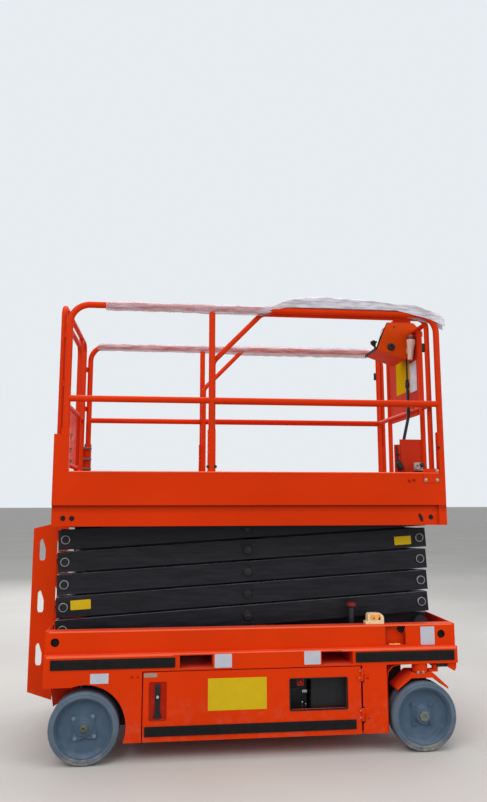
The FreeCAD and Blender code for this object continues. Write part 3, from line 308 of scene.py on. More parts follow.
ORANGE = (0.66, 0.036, 0.0004)
RAIL_ORANGE = (0.585, 0.030, 0.0003)
LOOKS = {
    "orange": painted("orange_paint", ORANGE),
    "rail": painted("rail_paint", RAIL_ORANGE),
    # Painted highlight: lighter orange for thin strips along edges, standing in for light catching them.
    "lit": painted("edge_highlight_paint", (0.90, 0.13, 0.05), variation=0.03),
    # The third tread number is the toe board's ledge height; the deck paint just below it carries painted shade.
    "deck": painted("deck_paint", RAIL_ORANGE, tread=(1.433, 0.006, 1.3892)),
    "box": painted("box_paint", (0.56, 0.052, 0.001)),
    "arm": satin_black("black_paint", (0.0066, 0.0068, 0.0098), 0.46),
    # Bright steel for the pin rings: partly worn paint, partly painted highlight.
    "ring": metal("pin_ring_highlight_steel", (0.40, 0.40, 0.43), 0.4),
    "dark": painted("dark_paint", (0.030, 0.030, 0.034), rough=0.5, variation=0.15, coat=0.05),
    "steel": metal("bright_steel", (0.55, 0.55, 0.56)),
    "zinc": metal("zinc_plate", (0.42, 0.40, 0.36), 0.42, rust=0.35),
    "chrome": metal("chrome_rod", (0.80, 0.81, 0.83), 0.14),
    "tyre": rubber("wheel_rubber", (0.094, 0.128, 0.172)),
    "wheel": painted("wheel_paint", (0.070, 0.116, 0.172), rough=0.46, dust=0.15, variation=0.1, coat=0.05),
    "plastic": moulded("black_plastic", (0.010, 0.010, 0.012)),
    "nut": painted("nut_paint", (0.13, 0.14, 0.12), rough=0.55, variation=0.2),
    "stud": painted("stud_paint", (0.17, 0.22, 0.27), rough=0.5, dust=0.15),
    "strip": rubber("strip_rubber", (0.007, 0.006, 0.0065), 0.04),
    "hood": moulded("hood_plastic", (0.62, 0.50, 0.42), 0.4),
    # Darker copy of the orange paint: painted shade on the latch pans, the rear arch plates and the box lid, and the
    # colour of some screw heads.
    "pan": painted("dark_red_shade_paint", (0.36, 0.012, 0.0015), rough=0.5),
    "amber": glowing_lens("amber_plastic", (0.80, 0.27, 0.02)),
    "cream": moulded("cream_plastic", (0.74, 0.55, 0.33), 0.42),
    "knob": moulded("knob_plastic", (0.15, 0.012, 0.010), 0.4),
    "red": moulded("red_plastic", (0.55, 0.025, 0.012), 0.32),
    "grey": moulded("grey_plastic", (0.38, 0.37, 0.36), 0.5),
    "white": printed_plate("white_plate", (0.50, 0.52, 0.58)),
    "yellow": printed_plate("yellow_plate", (0.62, 0.42, 0.005)),
    "guard_yellow": printed_plate("guard_plate", (0.60, 0.45, 0.005), 0.0),
    "panel": painted("panel_paint", (0.52, 0.035, 0.012), rough=0.6, shine=0.02),
    "silver": printed_plate("silver_plate", (0.33, 0.26, 0.21)),
    "film": film_look("clear_film", False),
    "loose": film_look("loose_film", True),
}
SLOT_LOOKS = {"orange_paint": "orange", "black_paint": "arm", "dark_paint": "dark", "bright_steel": "steel",
              "chrome_rod": "chrome", "wheel_rubber": "tyre", "wheel_paint": "wheel", "black_plastic": "plastic",
              "amber_plastic": "amber", "clear_film": "film"}
LOOK_SLOTS = {look: slot for slot, look in SLOT_LOOKS.items()}
LOOK_SLOTS.update(zinc="bright_steel", strip="black_plastic", cream="amber_plastic", red="orange_paint",
                  grey="bright_steel", white="clear_film", yellow="amber_plastic", silver="bright_steel",
                  deck="orange_paint", box="orange_paint", pan="orange_paint", ring="bright_steel", loose="clear_film",
                  hood="clear_film", knob="orange_paint", rail="orange_paint", lit="orange_paint", panel="orange_paint", guard_yellow="amber_plastic", nut="wheel_paint",
                  stud="wheel_paint")


# The lower rollers take dark paint, partly their own finish and partly painted shade where they sit under the arms.
NODE_LOOKS = {"platform_frame": "deck", "sliding_deck": "deck", "lower_rollers": "dark", "upper_pins": "dark",
              "steering_link": "orange", "control_box": "box", "main_rail_near": "rail", "main_rail_far": "rail",
              "rear_rail": "rail", "entry_gate": "rail", "sliding_hoop_near": "rail", "sliding_hoop_far": "rail",
              "sliding_rails": "rail", "front_panels": "panel"}


def dress_frame():
    """Gives every CAD node its material."""
    slots = {row["node"]: row["material_slot"] for row in frame["record"]["subparts"]}
    for name, obj in frame["nodes"].items():
        look = NODE_LOOKS.get(name, SLOT_LOOKS[slots[name]])
        if name.startswith("pivot_pins"):
            look = "arm"
        obj.data.materials.clear()
        obj.data.materials.append(LOOKS[look])


def soften(name, width):
    """Rounds a CAD node's edges a little."""
    obj = frame["nodes"][name]
    edge = obj.modifiers.new("edge", "BEVEL")
    edge.width = width
    edge.segments = 2
    edge.limit_method = "ANGLE"
    edge.angle_limit = math.radians(50)


BODY_OF = {node: body for body, nodes in frame["record"]["behaviour"]["bodies"].items() for node in nodes}


def basis(axis):
    axis = Vector(axis).normalized()
    helper = Vector((0, 0, 1)) if abs(axis.z) < 0.9 else Vector((1, 0, 0))
    across = axis.cross(helper).normalized()
    return axis, across, across.cross(axis)


def turned(bm, centre, axis, profile, steps=48, closed=False, phase=0.0):
    """Spins a profile round an axis. The profile is a row of (distance along the axis, radius)."""
    axis, across, up = basis(axis)
    centre = Vector(centre)
    out = across * math.cos(phase) + up * math.sin(phase)
    if not closed:
        profile = [(profile[0][0], 0)] + [point for point in profile if point[1]] + [(profile[-1][0], 0)]
    corners = [bm.verts.new(centre + axis * along + out * radius) for along, radius in profile]
    pairs = list(zip(corners, corners[1:]))
    if closed:
        pairs.append((corners[-1], corners[0]))
    edges = [bm.edges.new(pair) for pair in pairs]
    known = set(bm.verts) - set(corners)
    bmesh.ops.spin(bm, geom=corners + edges, cent=centre, axis=axis, angle=math.tau, steps=steps, use_merge=True)
    fresh = [vert for vert in bm.verts if vert not in known]
    bmesh.ops.remove_doubles(bm, verts=fresh, dist=0.00001)


def prism(bm, outline, depth):
    """Pushes a flat outline along a vector."""
    face = bm.faces.new([bm.verts.new(Vector(point)) for point in outline])
    pushed = bmesh.ops.extrude_face_region(bm, geom=[face])["geom"]
    moved = [part for part in pushed if isinstance(part, bmesh.types.BMVert)]
    bmesh.ops.translate(bm, verts=moved, vec=Vector(depth))


def block(bm, x, y, z):
    prism(bm, [(x[0], y[0], z[0]), (x[1], y[0], z[0]), (x[1], y[0], z[1]), (x[0], y[0], z[1])], (0, y[1] - y[0], 0))


def rounded(low, high, radius, steps=5):
    """Corners of a rectangle with round corners, as (first, second) pairs."""
    points = []
    corners = (((high[0] - radius), (high[1] - radius), 0), ((low[0] + radius), (high[1] - radius), 90),
               ((low[0] + radius), (low[1] + radius), 180), ((high[0] - radius), (low[1] + radius), 270))
    for cx, cy, start in corners:
        for k in range(steps + 1):
            angle = math.radians(start + 90 * k / steps)
            points.append((cx + radius * math.cos(angle), cy + radius * math.sin(angle)))
    return points


def side_plate(bm, side, x, z, face, thick, radius=0.004):
    """Adds a plate with round corners that stands on a side plane."""
    outline = [(a, side * face, b) for a, b in rounded((x[0], z[0]), (x[1], z[1]), radius)]
    prism(bm, outline, (0, side * thick, 0))


def outer_face(bm, side):
    """The face of a plate that looks away from the machine."""
    bmesh.ops.recalc_face_normals(bm, faces=bm.faces[:])
    return max(bm.faces, key=lambda face: side * face.calc_center_median().y)


def bolt(bm, centre, axis, flats, washer=True):
    """Adds a hexagon head with a chamfer, on a washer."""
    start = 0.0
    if washer:
        start = flats * 0.14
        turned(bm, centre, axis, [(0, 0), (0, flats * 0.95), (start * 0.8, flats * 0.95), (start, flats * 0.9), (start, 0)], 20)
    high = start + flats * 0.55
    turned(bm, centre, axis, [(start, 0), (start, flats * 0.577), (high * 0.88, flats * 0.577), (high, flats * 0.48), (high, 0)], 6)


def piece(bm, name, body, look, edge=0.0, angle=38.0):
    """Makes a mesh piece that rides on a body."""
    bmesh.ops.recalc_face_normals(bm, faces=bm.faces[:])
    mesh = bpy.data.meshes.new(name)
    bm.to_mesh(mesh)
    bm.free()
    mesh.materials.append(LOOKS[look])
    mesh.shade_smooth()
    mesh.set_sharp_from_angle(angle=math.radians(angle))
    obj = bpy.data.objects.new(name, mesh)
    scene.collection.objects.link(obj)
    if edge:
        rim = obj.modifiers.new("edge", "BEVEL")
        rim.width = edge
        rim.segments = 2
        rim.limit_method = "ANGLE"
        rim.angle_limit = math.radians(angle)
        rim.harden_normals = True
    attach(obj, body)
    return obj


def outward(centre, side, offset):
    """A point on a wheel's axis, that far in from the outer face of its tyre."""
    return (centre[0], side * (HALF_WIDTH - offset), centre[1])


TYRE_PROFILE = [(0.005, 0.1560), (0.001, 0.1600), (0.0, 0.1630), (0.0, 0.1700), (0.002, 0.1725), (0.002, 0.1760),
                (0.0005, 0.1785), (0.002, 0.1830), (0.006, 0.1870), (0.012, 0.1895), (0.020, 0.1905),
                (0.060, 0.1905), (0.0615, 0.1897), (0.0655, 0.1897), (0.067, 0.1905), (0.107, 0.1905),
                (0.115, 0.1895), (0.121, 0.1870), (0.125, 0.1830), (0.1265, 0.1785), (0.127, 0.1600), (0.122, 0.1560)]
REAR_RIM = [(0.034, 0), (0.034, 0.0305), (0.106, 0.0305), (0.106, 0.150), (0.100, 0.156), (0.013, 0.156), (0.010, 0.1545),
            (0.010, 0.1505), (0.013, 0.1490), (0.034, 0.1410), (0.041, 0.1375), (0.044, 0.1310), (0.044, 0.0860),
            (0.043, 0.060), (0.032, 0.047), (0.029, 0.044), (0.029, 0.034), (0.026, 0.030), (0.022, 0.028), (0.022, 0)]
FRONT_RIM = [(0.034, 0), (0.034, 0.0305), (0.106, 0.0305), (0.106, 0.150), (0.100, 0.156), (0.013, 0.156), (0.010, 0.1545),
             (0.010, 0.1505), (0.013, 0.1490), (0.048, 0.1445), (0.056, 0.1410), (0.060, 0.1340), (0.060, 0.0600),
             (0.050, 0.052), (0.034, 0.044), (0.030, 0.042), (0.022, 0.041), (0.022, 0)]


def wheel(end, name, side):
    body = "wheel_%s_%s" % (end, name)
    centre = (WHEELBASE_ENDS[end], WHEEL_HEIGHT)
    inward = (0, -side, 0)
    face = outward(centre, side, 0)
    bm = bmesh.new()
    turned(bm, face, inward, TYRE_PROFILE, 96, closed=True)
    tyre = piece(bm, body + "_tyre", body, "tyre", angle=50)
    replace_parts(tyre, "tyre_%s_%s" % (end, name))
    bm = bmesh.new()
    turned(bm, face, inward, REAR_RIM if end == "rear" else FRONT_RIM, 96)
    rim = piece(bm, body + "_disc", body, "wheel", angle=40)
    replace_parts(rim, "rim_%s_%s" % (end, name))
    bolts = bmesh.new()
    hub = bmesh.new()
    _, across, up = basis((0, side, 0))
    if end == "rear":
        start = Vector(outward(centre, side, 0.0445))
        outline = []
        for k in range(72):
            angle = 2 * math.pi * k / 72
            reach = 0.068 + 0.014 * math.cos(4 * (angle - math.radians(40)))
            outline.append(start + (across * math.cos(angle) + up * math.sin(angle)) * reach)
        prism(hub, outline, (0, side * 0.009, 0))
        for k in range(4):
            angle = math.radians(40 + 90 * k)
            spot = start + (across * math.cos(angle) + up * math.sin(angle)) * 0.074
            bolt(bolts, spot + Vector((0, side * 0.009, 0)), (0, side, 0), 0.012)
        piece(bolts, body + "_bolts", body, "stud", 0.0006)
        piece(hub, body + "_flange", body, "wheel", 0.003)
        bm = bmesh.new()
        turned(bm, outward(centre, side, 0.022), (0, side, 0),
               [(0, 0.024), (0.003, 0.024), (0.004, 0.019), (0.010, 0.018), (0.012, 0.015), (0.012, 0.007), (0.004, 0.006), (0.004, 0)], 32)
        piece(bm, body + "_cap", body, "nut", 0.0006)
        return
    start = Vector(outward(centre, side, 0.0605))
    half = 0.062
    outline = []
    for a, b in rounded((-half, -half), (half, half), 0.012):
        outline.append(start + across * a + up * b)
    prism(hub, outline, (0, side * 0.006, 0))
    piece(hub, body + "_flange", body, "wheel", 0.003)
    for k in range(4):
        angle = math.radians(45 + 90 * k)
        spot = start + (across * math.cos(angle) + up * math.sin(angle)) * 0.072
        bolt(bolts, spot + Vector((0, side * 0.006, 0)), (0, side, 0), 0.014)
    piece(bolts, body + "_bolts", body, "wheel", 0.0006)
    bm = bmesh.new()
    turned(bm, outward(centre, side, 0.022), (0, side, 0),
           [(0, 0), (0, 0.028), (0.002, 0.030), (0.013, 0.030), (0.017, 0.026), (0.017, 0.014), (0.012, 0.013), (0.012, 0)], 6, phase=0.2)
    piece(bm, body + "_nut", body, "nut", 0.001)


def label(name, body, look, side, x, z, face, thick=0.0012, radius=0.004, lean=0.0):
    """A bare sign plate on a side plane, turned with the arm it is stuck to."""
    bm = bmesh.new()
    side_plate(bm, side, x, z, face, thick, radius)
    middle = (sum(x) / 2, side * face, sum(z) / 2)
    bmesh.ops.rotate(bm, verts=bm.verts[:], cent=middle, matrix=Matrix.Rotation(-lean, 3, "Y"))
    return piece(bm, name, body, look, 0.0003)


def bolts(name, body, look, spots, axis, flats, washer=True):
    """A group of hexagon heads on one plane."""
    bm = bmesh.new()
    for spot in spots:
        bolt(bm, spot, axis, flats, washer)
    return piece(bm, name, body, look, flats * 0.03)


def arm_pins():
    """Bright retaining rings, partly worn paint and partly a painted highlight on the glossy pin collars, dark pin ends
    and the hexagon bosses in the arms' middles.
    """
    for level in range(5):
        body = BODY_OF["pivot_pins_%d" % (level + 1)]
        rings = bmesh.new()
        ends = bmesh.new()
        for side in (-1, 1):
            for x, rise in ((PIN_REAR, 0.0), (PIN_MIDDLE, 0.5), (PIN_FRONT, 1.0)):
                spot = (x, side * ARM_FACE, PIN_BOTTOM + PITCH * (level + rise))
                if rise == 0.5:
                    turned(ends, spot, (0, side, 0), [(0.004, 0), (0.004, 0.0285), (0.0165, 0.0285), (0.0200, 0.0255), (0.0200, 0)], 6)
                    turned(ends, spot, (0, side, 0), [(0.0195, 0), (0.0195, 0.0135), (0.0225, 0.0135), (0.0235, 0.0120), (0.0235, 0)], 24)
                    continue
                # Painted highlight, in part: a bright steel ring on each pin collar where light catches its edge.
                turned(rings, spot, (0, side, 0), [(0.004, 0.0262), (0.0078, 0.0262), (0.0100, 0.0242), (0.0100, 0.0218),
                                                   (0.0070, 0.0198), (0.004, 0.0198)], 40, closed=True)
                turned(ends, spot, (0, side, 0), [(0.002, 0), (0.002, 0.0150), (0.0068, 0.0150), (0.0076, 0.0140),
                                                  (0.0076, 0.0050), (0.0060, 0.0036), (0.0060, 0)], 32)
        piece(rings, "pin_rings_%d" % (level + 1), body, "ring")
        piece(ends, "pin_ends_%d" % (level + 1), body, "plastic")
    for side, name in ((-1, "near"), (1, "far")):
        lean = math.atan2(PITCH, PIN_FRONT - PIN_REAR)
        label("arm_sign_rear_" + name, "outer_2", "yellow", side, (-0.998, -0.883), (0.792, 0.846), ARM_FACE, lean=lean)
        label("arm_sign_front_" + name, "outer_4", "yellow", side, (0.948, 1.054), (1.146, 1.197), ARM_FACE, lean=lean)


def door_dress(name, side):
    """Rub strip, latch in its pan, plates and hinge screws of a side door."""
    body = "door_" + name
    bm = bmesh.new()
    side_plate(bm, side, (-0.557, 0.634), (0.137, 0.188), SIDE, 0.006, 0.002)
    for z in (0.150, 0.1625, 0.175):
        side_plate(bm, side, (-0.555, 0.632), (z - 0.0035, z + 0.0035), SIDE + 0.006, 0.0015, 0.001)
    piece(bm, body + "_strip", body, "strip", 0.0008)
    pan = bmesh.new()
    side_plate(pan, side, (-0.535, -0.438), (0.218, 0.423), SIDE, 0.0030, 0.010)
    floor = outer_face(pan, side)
    bmesh.ops.inset_individual(pan, faces=[floor], thickness=0.0055)
    bmesh.ops.inset_individual(pan, faces=[floor], thickness=0.0006, depth=-0.0024)
    # The latch pan takes the darker red as painted shade in its recess.
    piece(pan, body + "_latch_pan", body, "pan", 0.0004)
    lever = bmesh.new()
    half = ((0.411, 0.0135), (0.36, 0.0150), (0.31, 0.0135), (0.262, 0.0150), (0.246, 0.0225), (0.232, 0.0225))
    outline = [(-0.4875 - w, side * (SIDE + 0.0005), z) for z, w in half]
    outline += [(-0.4875 + w, side * (SIDE + 0.0005), z) for z, w in reversed(half)]
    prism(lever, outline, (0, side * 0.009, 0))
    side_plate(lever, side, (-0.501, -0.474), (0.335, 0.408), SIDE + 0.0095, 0.004, 0.008)
    piece(lever, body + "_latch_lever", body, "plastic", 0.0025)
    lock = bmesh.new()
    turned(lock, (-0.4875, side * (SIDE + 0.0135), 0.345), (0, side, 0),
           [(0, 0.008), (0.002, 0.008), (0.003, 0.007), (0.003, 0.004), (0.002, 0.0035), (0.002, 0)], 28)
    piece(lock, body + "_latch_lock", body, "steel", 0.0003)
    label(body + "_grey_sign", body, "silver", side, (-0.563, -0.491), (0.447, 0.469), SIDE)
    label(body + "_yellow_sign", body, "yellow", side, (-0.209, 0.122), (0.261, 0.432), SIDE, radius=0.003)
    bm = bmesh.new()
    for z in (0.196, 0.234, 0.412, 0.450):
        turned(bm, (0.662, side * (SIDE + 0.004), z), (0, side, 0), [(0, 0.0055), (0.002, 0.0052), (0.0035, 0.003), (0.0035, 0)], 16)
    piece(bm, body + "_hinge_screws", body, "zinc")


def window_dress():
    """Rubber edge round the near door's window, and what shows behind it."""
    bm = bmesh.new()
    side_plate(bm, -1, (0.2515, 0.5895), (0.2435, 0.4205), SIDE - 0.012, 0.0145, 0.012)
    front = outer_face(bm, -1)
    back = max(bm.faces, key=lambda face: face.calc_center_median().y)
    bmesh.ops.inset_individual(bm, faces=[front, back], thickness=0.0055)
    holes = [[loop.edge for loop in face.loops] for face in (front, back)]
    bmesh.ops.delete(bm, geom=[front, back], context="FACES_ONLY")
    bmesh.ops.bridge_loops(bm, edges=holes[0] + holes[1])
    piece(bm, "door_near_window_edge", "door_near", "plastic", 0.0006)
    face = 0.462
    tag = bmesh.new()
    side_plate(tag, -1, (0.316, 0.357), (0.352, 0.400), face, 0.002, 0.003)
    turned(tag, (0.3365, -face - 0.002, 0.376), (0, -1, 0), [(0, 0.014), (0.010, 0.014), (0.013, 0.012), (0.015, 0.007), (0.015, 0)], 32)
    piece(tag, "stop_button", "chassis", "red", 0.0006)
    bits = bmesh.new()
    for x in (0.352, 0.3655):
        turned(bits, (x, -face, 0.322), (0, -1, 0), [(0, 0.0075), (0.004, 0.0075), (0.004, 0.005), (0.007, 0.004), (0.020, 0.0028),
                                                   (0.024, 0.0042), (0.027, 0.003), (0.028, 0)], 20)
    for x, low, high in ((0.344, 0.222, 0.262), (0.364, 0.222, 0.250)):
        turned(bits, (x, -face - 0.008, low), (0, 0, 1), [(0, 0), (0, 0.003), (high - low - 0.003, 0.0034), (high - low, 0)], 14)
        turned(bits, (x, -face, high), (0, -1, 0), [(0, 0.005), (0.010, 0.005), (0.011, 0)], 14)
    piece(bits, "ground_switches", "chassis", "chrome", 0.0003)
    panel = bmesh.new()
    side_plate(panel, -1, (0.256, 0.369), (0.262, 0.418), face, 0.0015, 0.004)
    side_plate(panel, -1, (0.262, 0.308), (0.300, 0.345), face + 0.0015, 0.012, 0.006)
    turned(panel, (0.285, -face - 0.0015, 0.378), (0, -1, 0), [(0, 0.016), (0.006, 0.016), (0.008, 0.012), (0.014, 0.011), (0.015, 0)], 28)
    piece(panel, "ground_panel", "chassis", "plastic", 0.0008)
    ribs = bmesh.new()
    for k in range(14):
        x = 0.398 + 0.0135 * k
        block(ribs, (x, x + 0.0045), (-0.5255, -0.5215), (0.130, 0.232))
    side_plate(ribs, -1, (0.392, 0.596), (0.252, 0.418), 0.522, 0.0015, 0.006)
    piece(ribs, "charger_cover", "chassis", "plastic", 0.0008)


def chassis_dress(name, side):
    """Rub strips, painted highlight lines along the ledges, black discs as painted shade in the rail's holes, plates,
    screw heads and the parts above the steered wheel.
    """
    bm = bmesh.new()
    for x, z in (((-1.074, -0.393), (0.4965, 0.5500)), ((0.640, 1.229), (0.4965, 0.5520))):
        side_plate(bm, side, x, z, SIDE, 0.0055, 0.002)
        for step in (0.25, 0.5, 0.75):
            middle = z[0] + (z[1] - z[0]) * step
            side_plate(bm, side, (x[0] + 0.002, x[1] - 0.002), (middle - 0.003, middle + 0.003), SIDE + 0.0055, 0.0015, 0.001)
    piece(bm, "chassis_strips_" + name, "chassis", "strip", 0.0008)
    # Painted highlight: thin light orange strips along the ledges' top edges.
    bm = bmesh.new()
    for x, z in (((-1.098, -0.405), (0.5590, 0.5715)), ((-0.405, 0.560), (0.5640, 0.5715)), ((0.560, 1.245), (0.5590, 0.5715))):
        side_plate(bm, side, x, z, SIDE - 0.0006, 0.0016, 0.001)
    side_plate(bm, side, (-1.092, 1.236), (0.6875, 0.6962), RAIL_SIDE - 0.0006, 0.0016, 0.001)
    piece(bm, "highlight_lines_" + name, "chassis", "lit")
    label("fork_sign_rear_" + name, "chassis", "white", side, (-0.172, -0.075), (0.488, 0.562), SIDE)
    label("fork_sign_front_" + name, "chassis", "white", side, (0.339, 0.434), (0.492, 0.566), SIDE)
    label("wheel_sign_" + name, "chassis", "white", side, (-0.856, -0.757), (0.421, 0.474), SIDE)
    label("rail_sign_" + name, "chassis", "white", side, (1.041, 1.126), (0.578, 0.681), RAIL_SIDE)
    spots = [(x, side * SIDE, z) for x, z in ((-0.630, 0.452), (-0.598, 0.451), (0.707, 0.410), (0.707, 0.193))]
    bolts("skirt_screws_" + name, "chassis", "pan", spots, (0, side, 0), 0.010, False)
    bm = bmesh.new()
    for z in ((0.112, 0.168), (0.252, 0.388), (0.462, 0.490)):
        side_plate(bm, side, (0.6765, 0.6915), z, SIDE, 0.0022, 0.0015)
    piece(bm, "hinge_covers_" + name, "chassis", "orange", 0.0006)
    # Painted shade: black discs set in the rail's holes stand for the dark inside them.
    bm = bmesh.new()
    turned(bm, (0.934, side * (RAIL_SIDE - 0.040), 0.664), (0, side, 0),
           [(0, 0.019), (0.016, 0.019), (0.019, 0.016), (0.019, 0.009), (0.014, 0.008), (0.014, 0)], 32)
    for x, z in ((1.1727, 0.6363), (-1.0581, 0.6320)):
        turned(bm, (x, side * (RAIL_SIDE - 0.020), z), (0, side, 0), [(0, 0.0215), (0.004, 0.0215), (0.006, 0.0190), (0.006, 0.0090), (0.003, 0.0080)], 32)
    piece(bm, "rail_hole_shades_" + name, "chassis", "strip", 0.0006)
    bm = bmesh.new()
    side_plate(bm, side, (0.852, 0.918), (0.5725, 0.589), RAIL_SIDE - 0.012, 0.008, 0.004)
    piece(bm, "recess_latch_" + name, "chassis", "amber", 0.0015)


def beacon_dress():
    """Cream lamp housing with a sloped corner and an amber window."""
    back, front = -0.530, -0.480
    outline = [(0.715, 0.697), (0.827, 0.697), (0.827, 0.736), (0.821, 0.748), (0.809, 0.757),
               (0.794, 0.760), (0.742, 0.760), (0.733, 0.756), (0.730, 0.749), (0.730, 0.716), (0.715, 0.714)]
    bm = bmesh.new()
    prism(bm, [(x, back, z) for x, z in outline], (0, front - back, 0))
    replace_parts(piece(bm, "beacon_housing", "chassis", "cream", 0.0035), "beacon_light")
    bm = bmesh.new()
    prism(bm, [(x, -0.5325, z) for x, z in rounded((0.742, 0.722), (0.807, 0.753), 0.008)], (0, 0.0035, 0))
    piece(bm, "beacon_lens", "chassis", "amber", 0.0015)
    bm = bmesh.new()
    prism(bm, [(0.762, -0.5337, 0.728), (0.771, -0.5337, 0.728), (0.764, -0.5337, 0.742)], (0, 0.003, 0))
    prism(bm, [(0.789, -0.5337, 0.724), (0.806, -0.5337, 0.724), (0.800, -0.5337, 0.742)], (0, 0.003, 0))
    piece(bm, "beacon_reflectors", "chassis", "plastic", 0.0006)


def lowering_knob():
    """Emergency lowering pull: a stem out of the gutter with a red ball grip."""
    bm = bmesh.new()
    turned(bm, (0.651, -0.450, 0.566), (0, 0, 1), [(0, 0), (0, 0.024), (0.006, 0.024), (0.010, 0.016), (0.030, 0.015), (0.034, 0.010),
                                                 (0.120, 0.010), (0.128, 0.0165), (0.222, 0.0165), (0.228, 0.012), (0.228, 0)], 32)
    piece(bm, "lowering_stem", "chassis", "plastic", 0.0008)
    bm = bmesh.new()
    turned(bm, (0.653, -0.450, 0.787), (0, 0, 1), [(0, 0.012), (0.002, 0.024), (0.008, 0.0295), (0.018, 0.030), (0.026, 0.024), (0.030, 0.012),
                                                 (0.031, 0)], 40)
    piece(bm, "lowering_knob", "chassis", "knob", 0.001)


def arch_plates(name, side):
    """Splash plates inside the wheel arches, the bracket below the steered end, and black sheets as painted shade in
    the wheel wells.
    """
    bm = bmesh.new()
    line = [(0.8245, 0.112), (0.8245, 0.400), (0.8330, 0.440), (0.8590, 0.466), (0.9050, 0.4760), (0.9720, 0.4775)]
    back = [(x + 0.0025, z - 0.0015) for x, z in line]
    prism(bm, [(x, side * 0.562, z) for x, z in line + back[::-1]], (0, -side * 0.255, 0))
    prism(bm, [(1.196, side * 0.552, 0.4785), (1.248, side * 0.552, 0.4785), (1.247, side * 0.552, 0.448), (1.236, side * 0.552, 0.429),
               (1.216, side * 0.552, 0.440), (1.196, side * 0.552, 0.456)], (0, -side * 0.055, 0))
    piece(bm, "arch_plates_" + name, "chassis", "orange", 0.0006)
    # Painted shade: the rear arch plate takes the darker red, as it sits in shade.
    bm = bmesh.new()
    prism(bm, [(-1.084, side * 0.452, 0.478), (-0.930, side * 0.452, 0.478), (-0.930, side * 0.452, 0.372), (-0.975, side * 0.452, 0.345),
               (-1.030, side * 0.452, 0.300), (-1.068, side * 0.452, 0.277), (-1.082, side * 0.452, 0.366)], (0, -side * 0.004, 0))
    piece(bm, "rear_arch_plate_" + name, "chassis", "pan", 0.0006)
    bolts("king_screws_" + name, "knuckle_" + name, "zinc", [(x, side * 0.565, 0.430) for x in (1.009, 1.040)], (0, side, 0), 0.009)
    # Painted shade: thin black sheets in the wheel wells and beside the steered end's bracket stand for the shade
    # there.
    bm = bmesh.new()
    block(bm, (0.830, 1.000), (side * 0.290, side * 0.286), (0.135, 0.470))
    block(bm, (1.000, 1.190), (side * 0.290, side * 0.286), (0.4400, 0.4785))
    block(bm, (-0.810, -0.640), (side * 0.290, side * 0.286), (0.118, 0.470))
    block(bm, (1.130, 1.1955), (side * 0.500, side * 0.540), (0.4520, 0.4785))
    piece(bm, "wheel_well_shades_" + name, "chassis", "plastic", 0.0006)


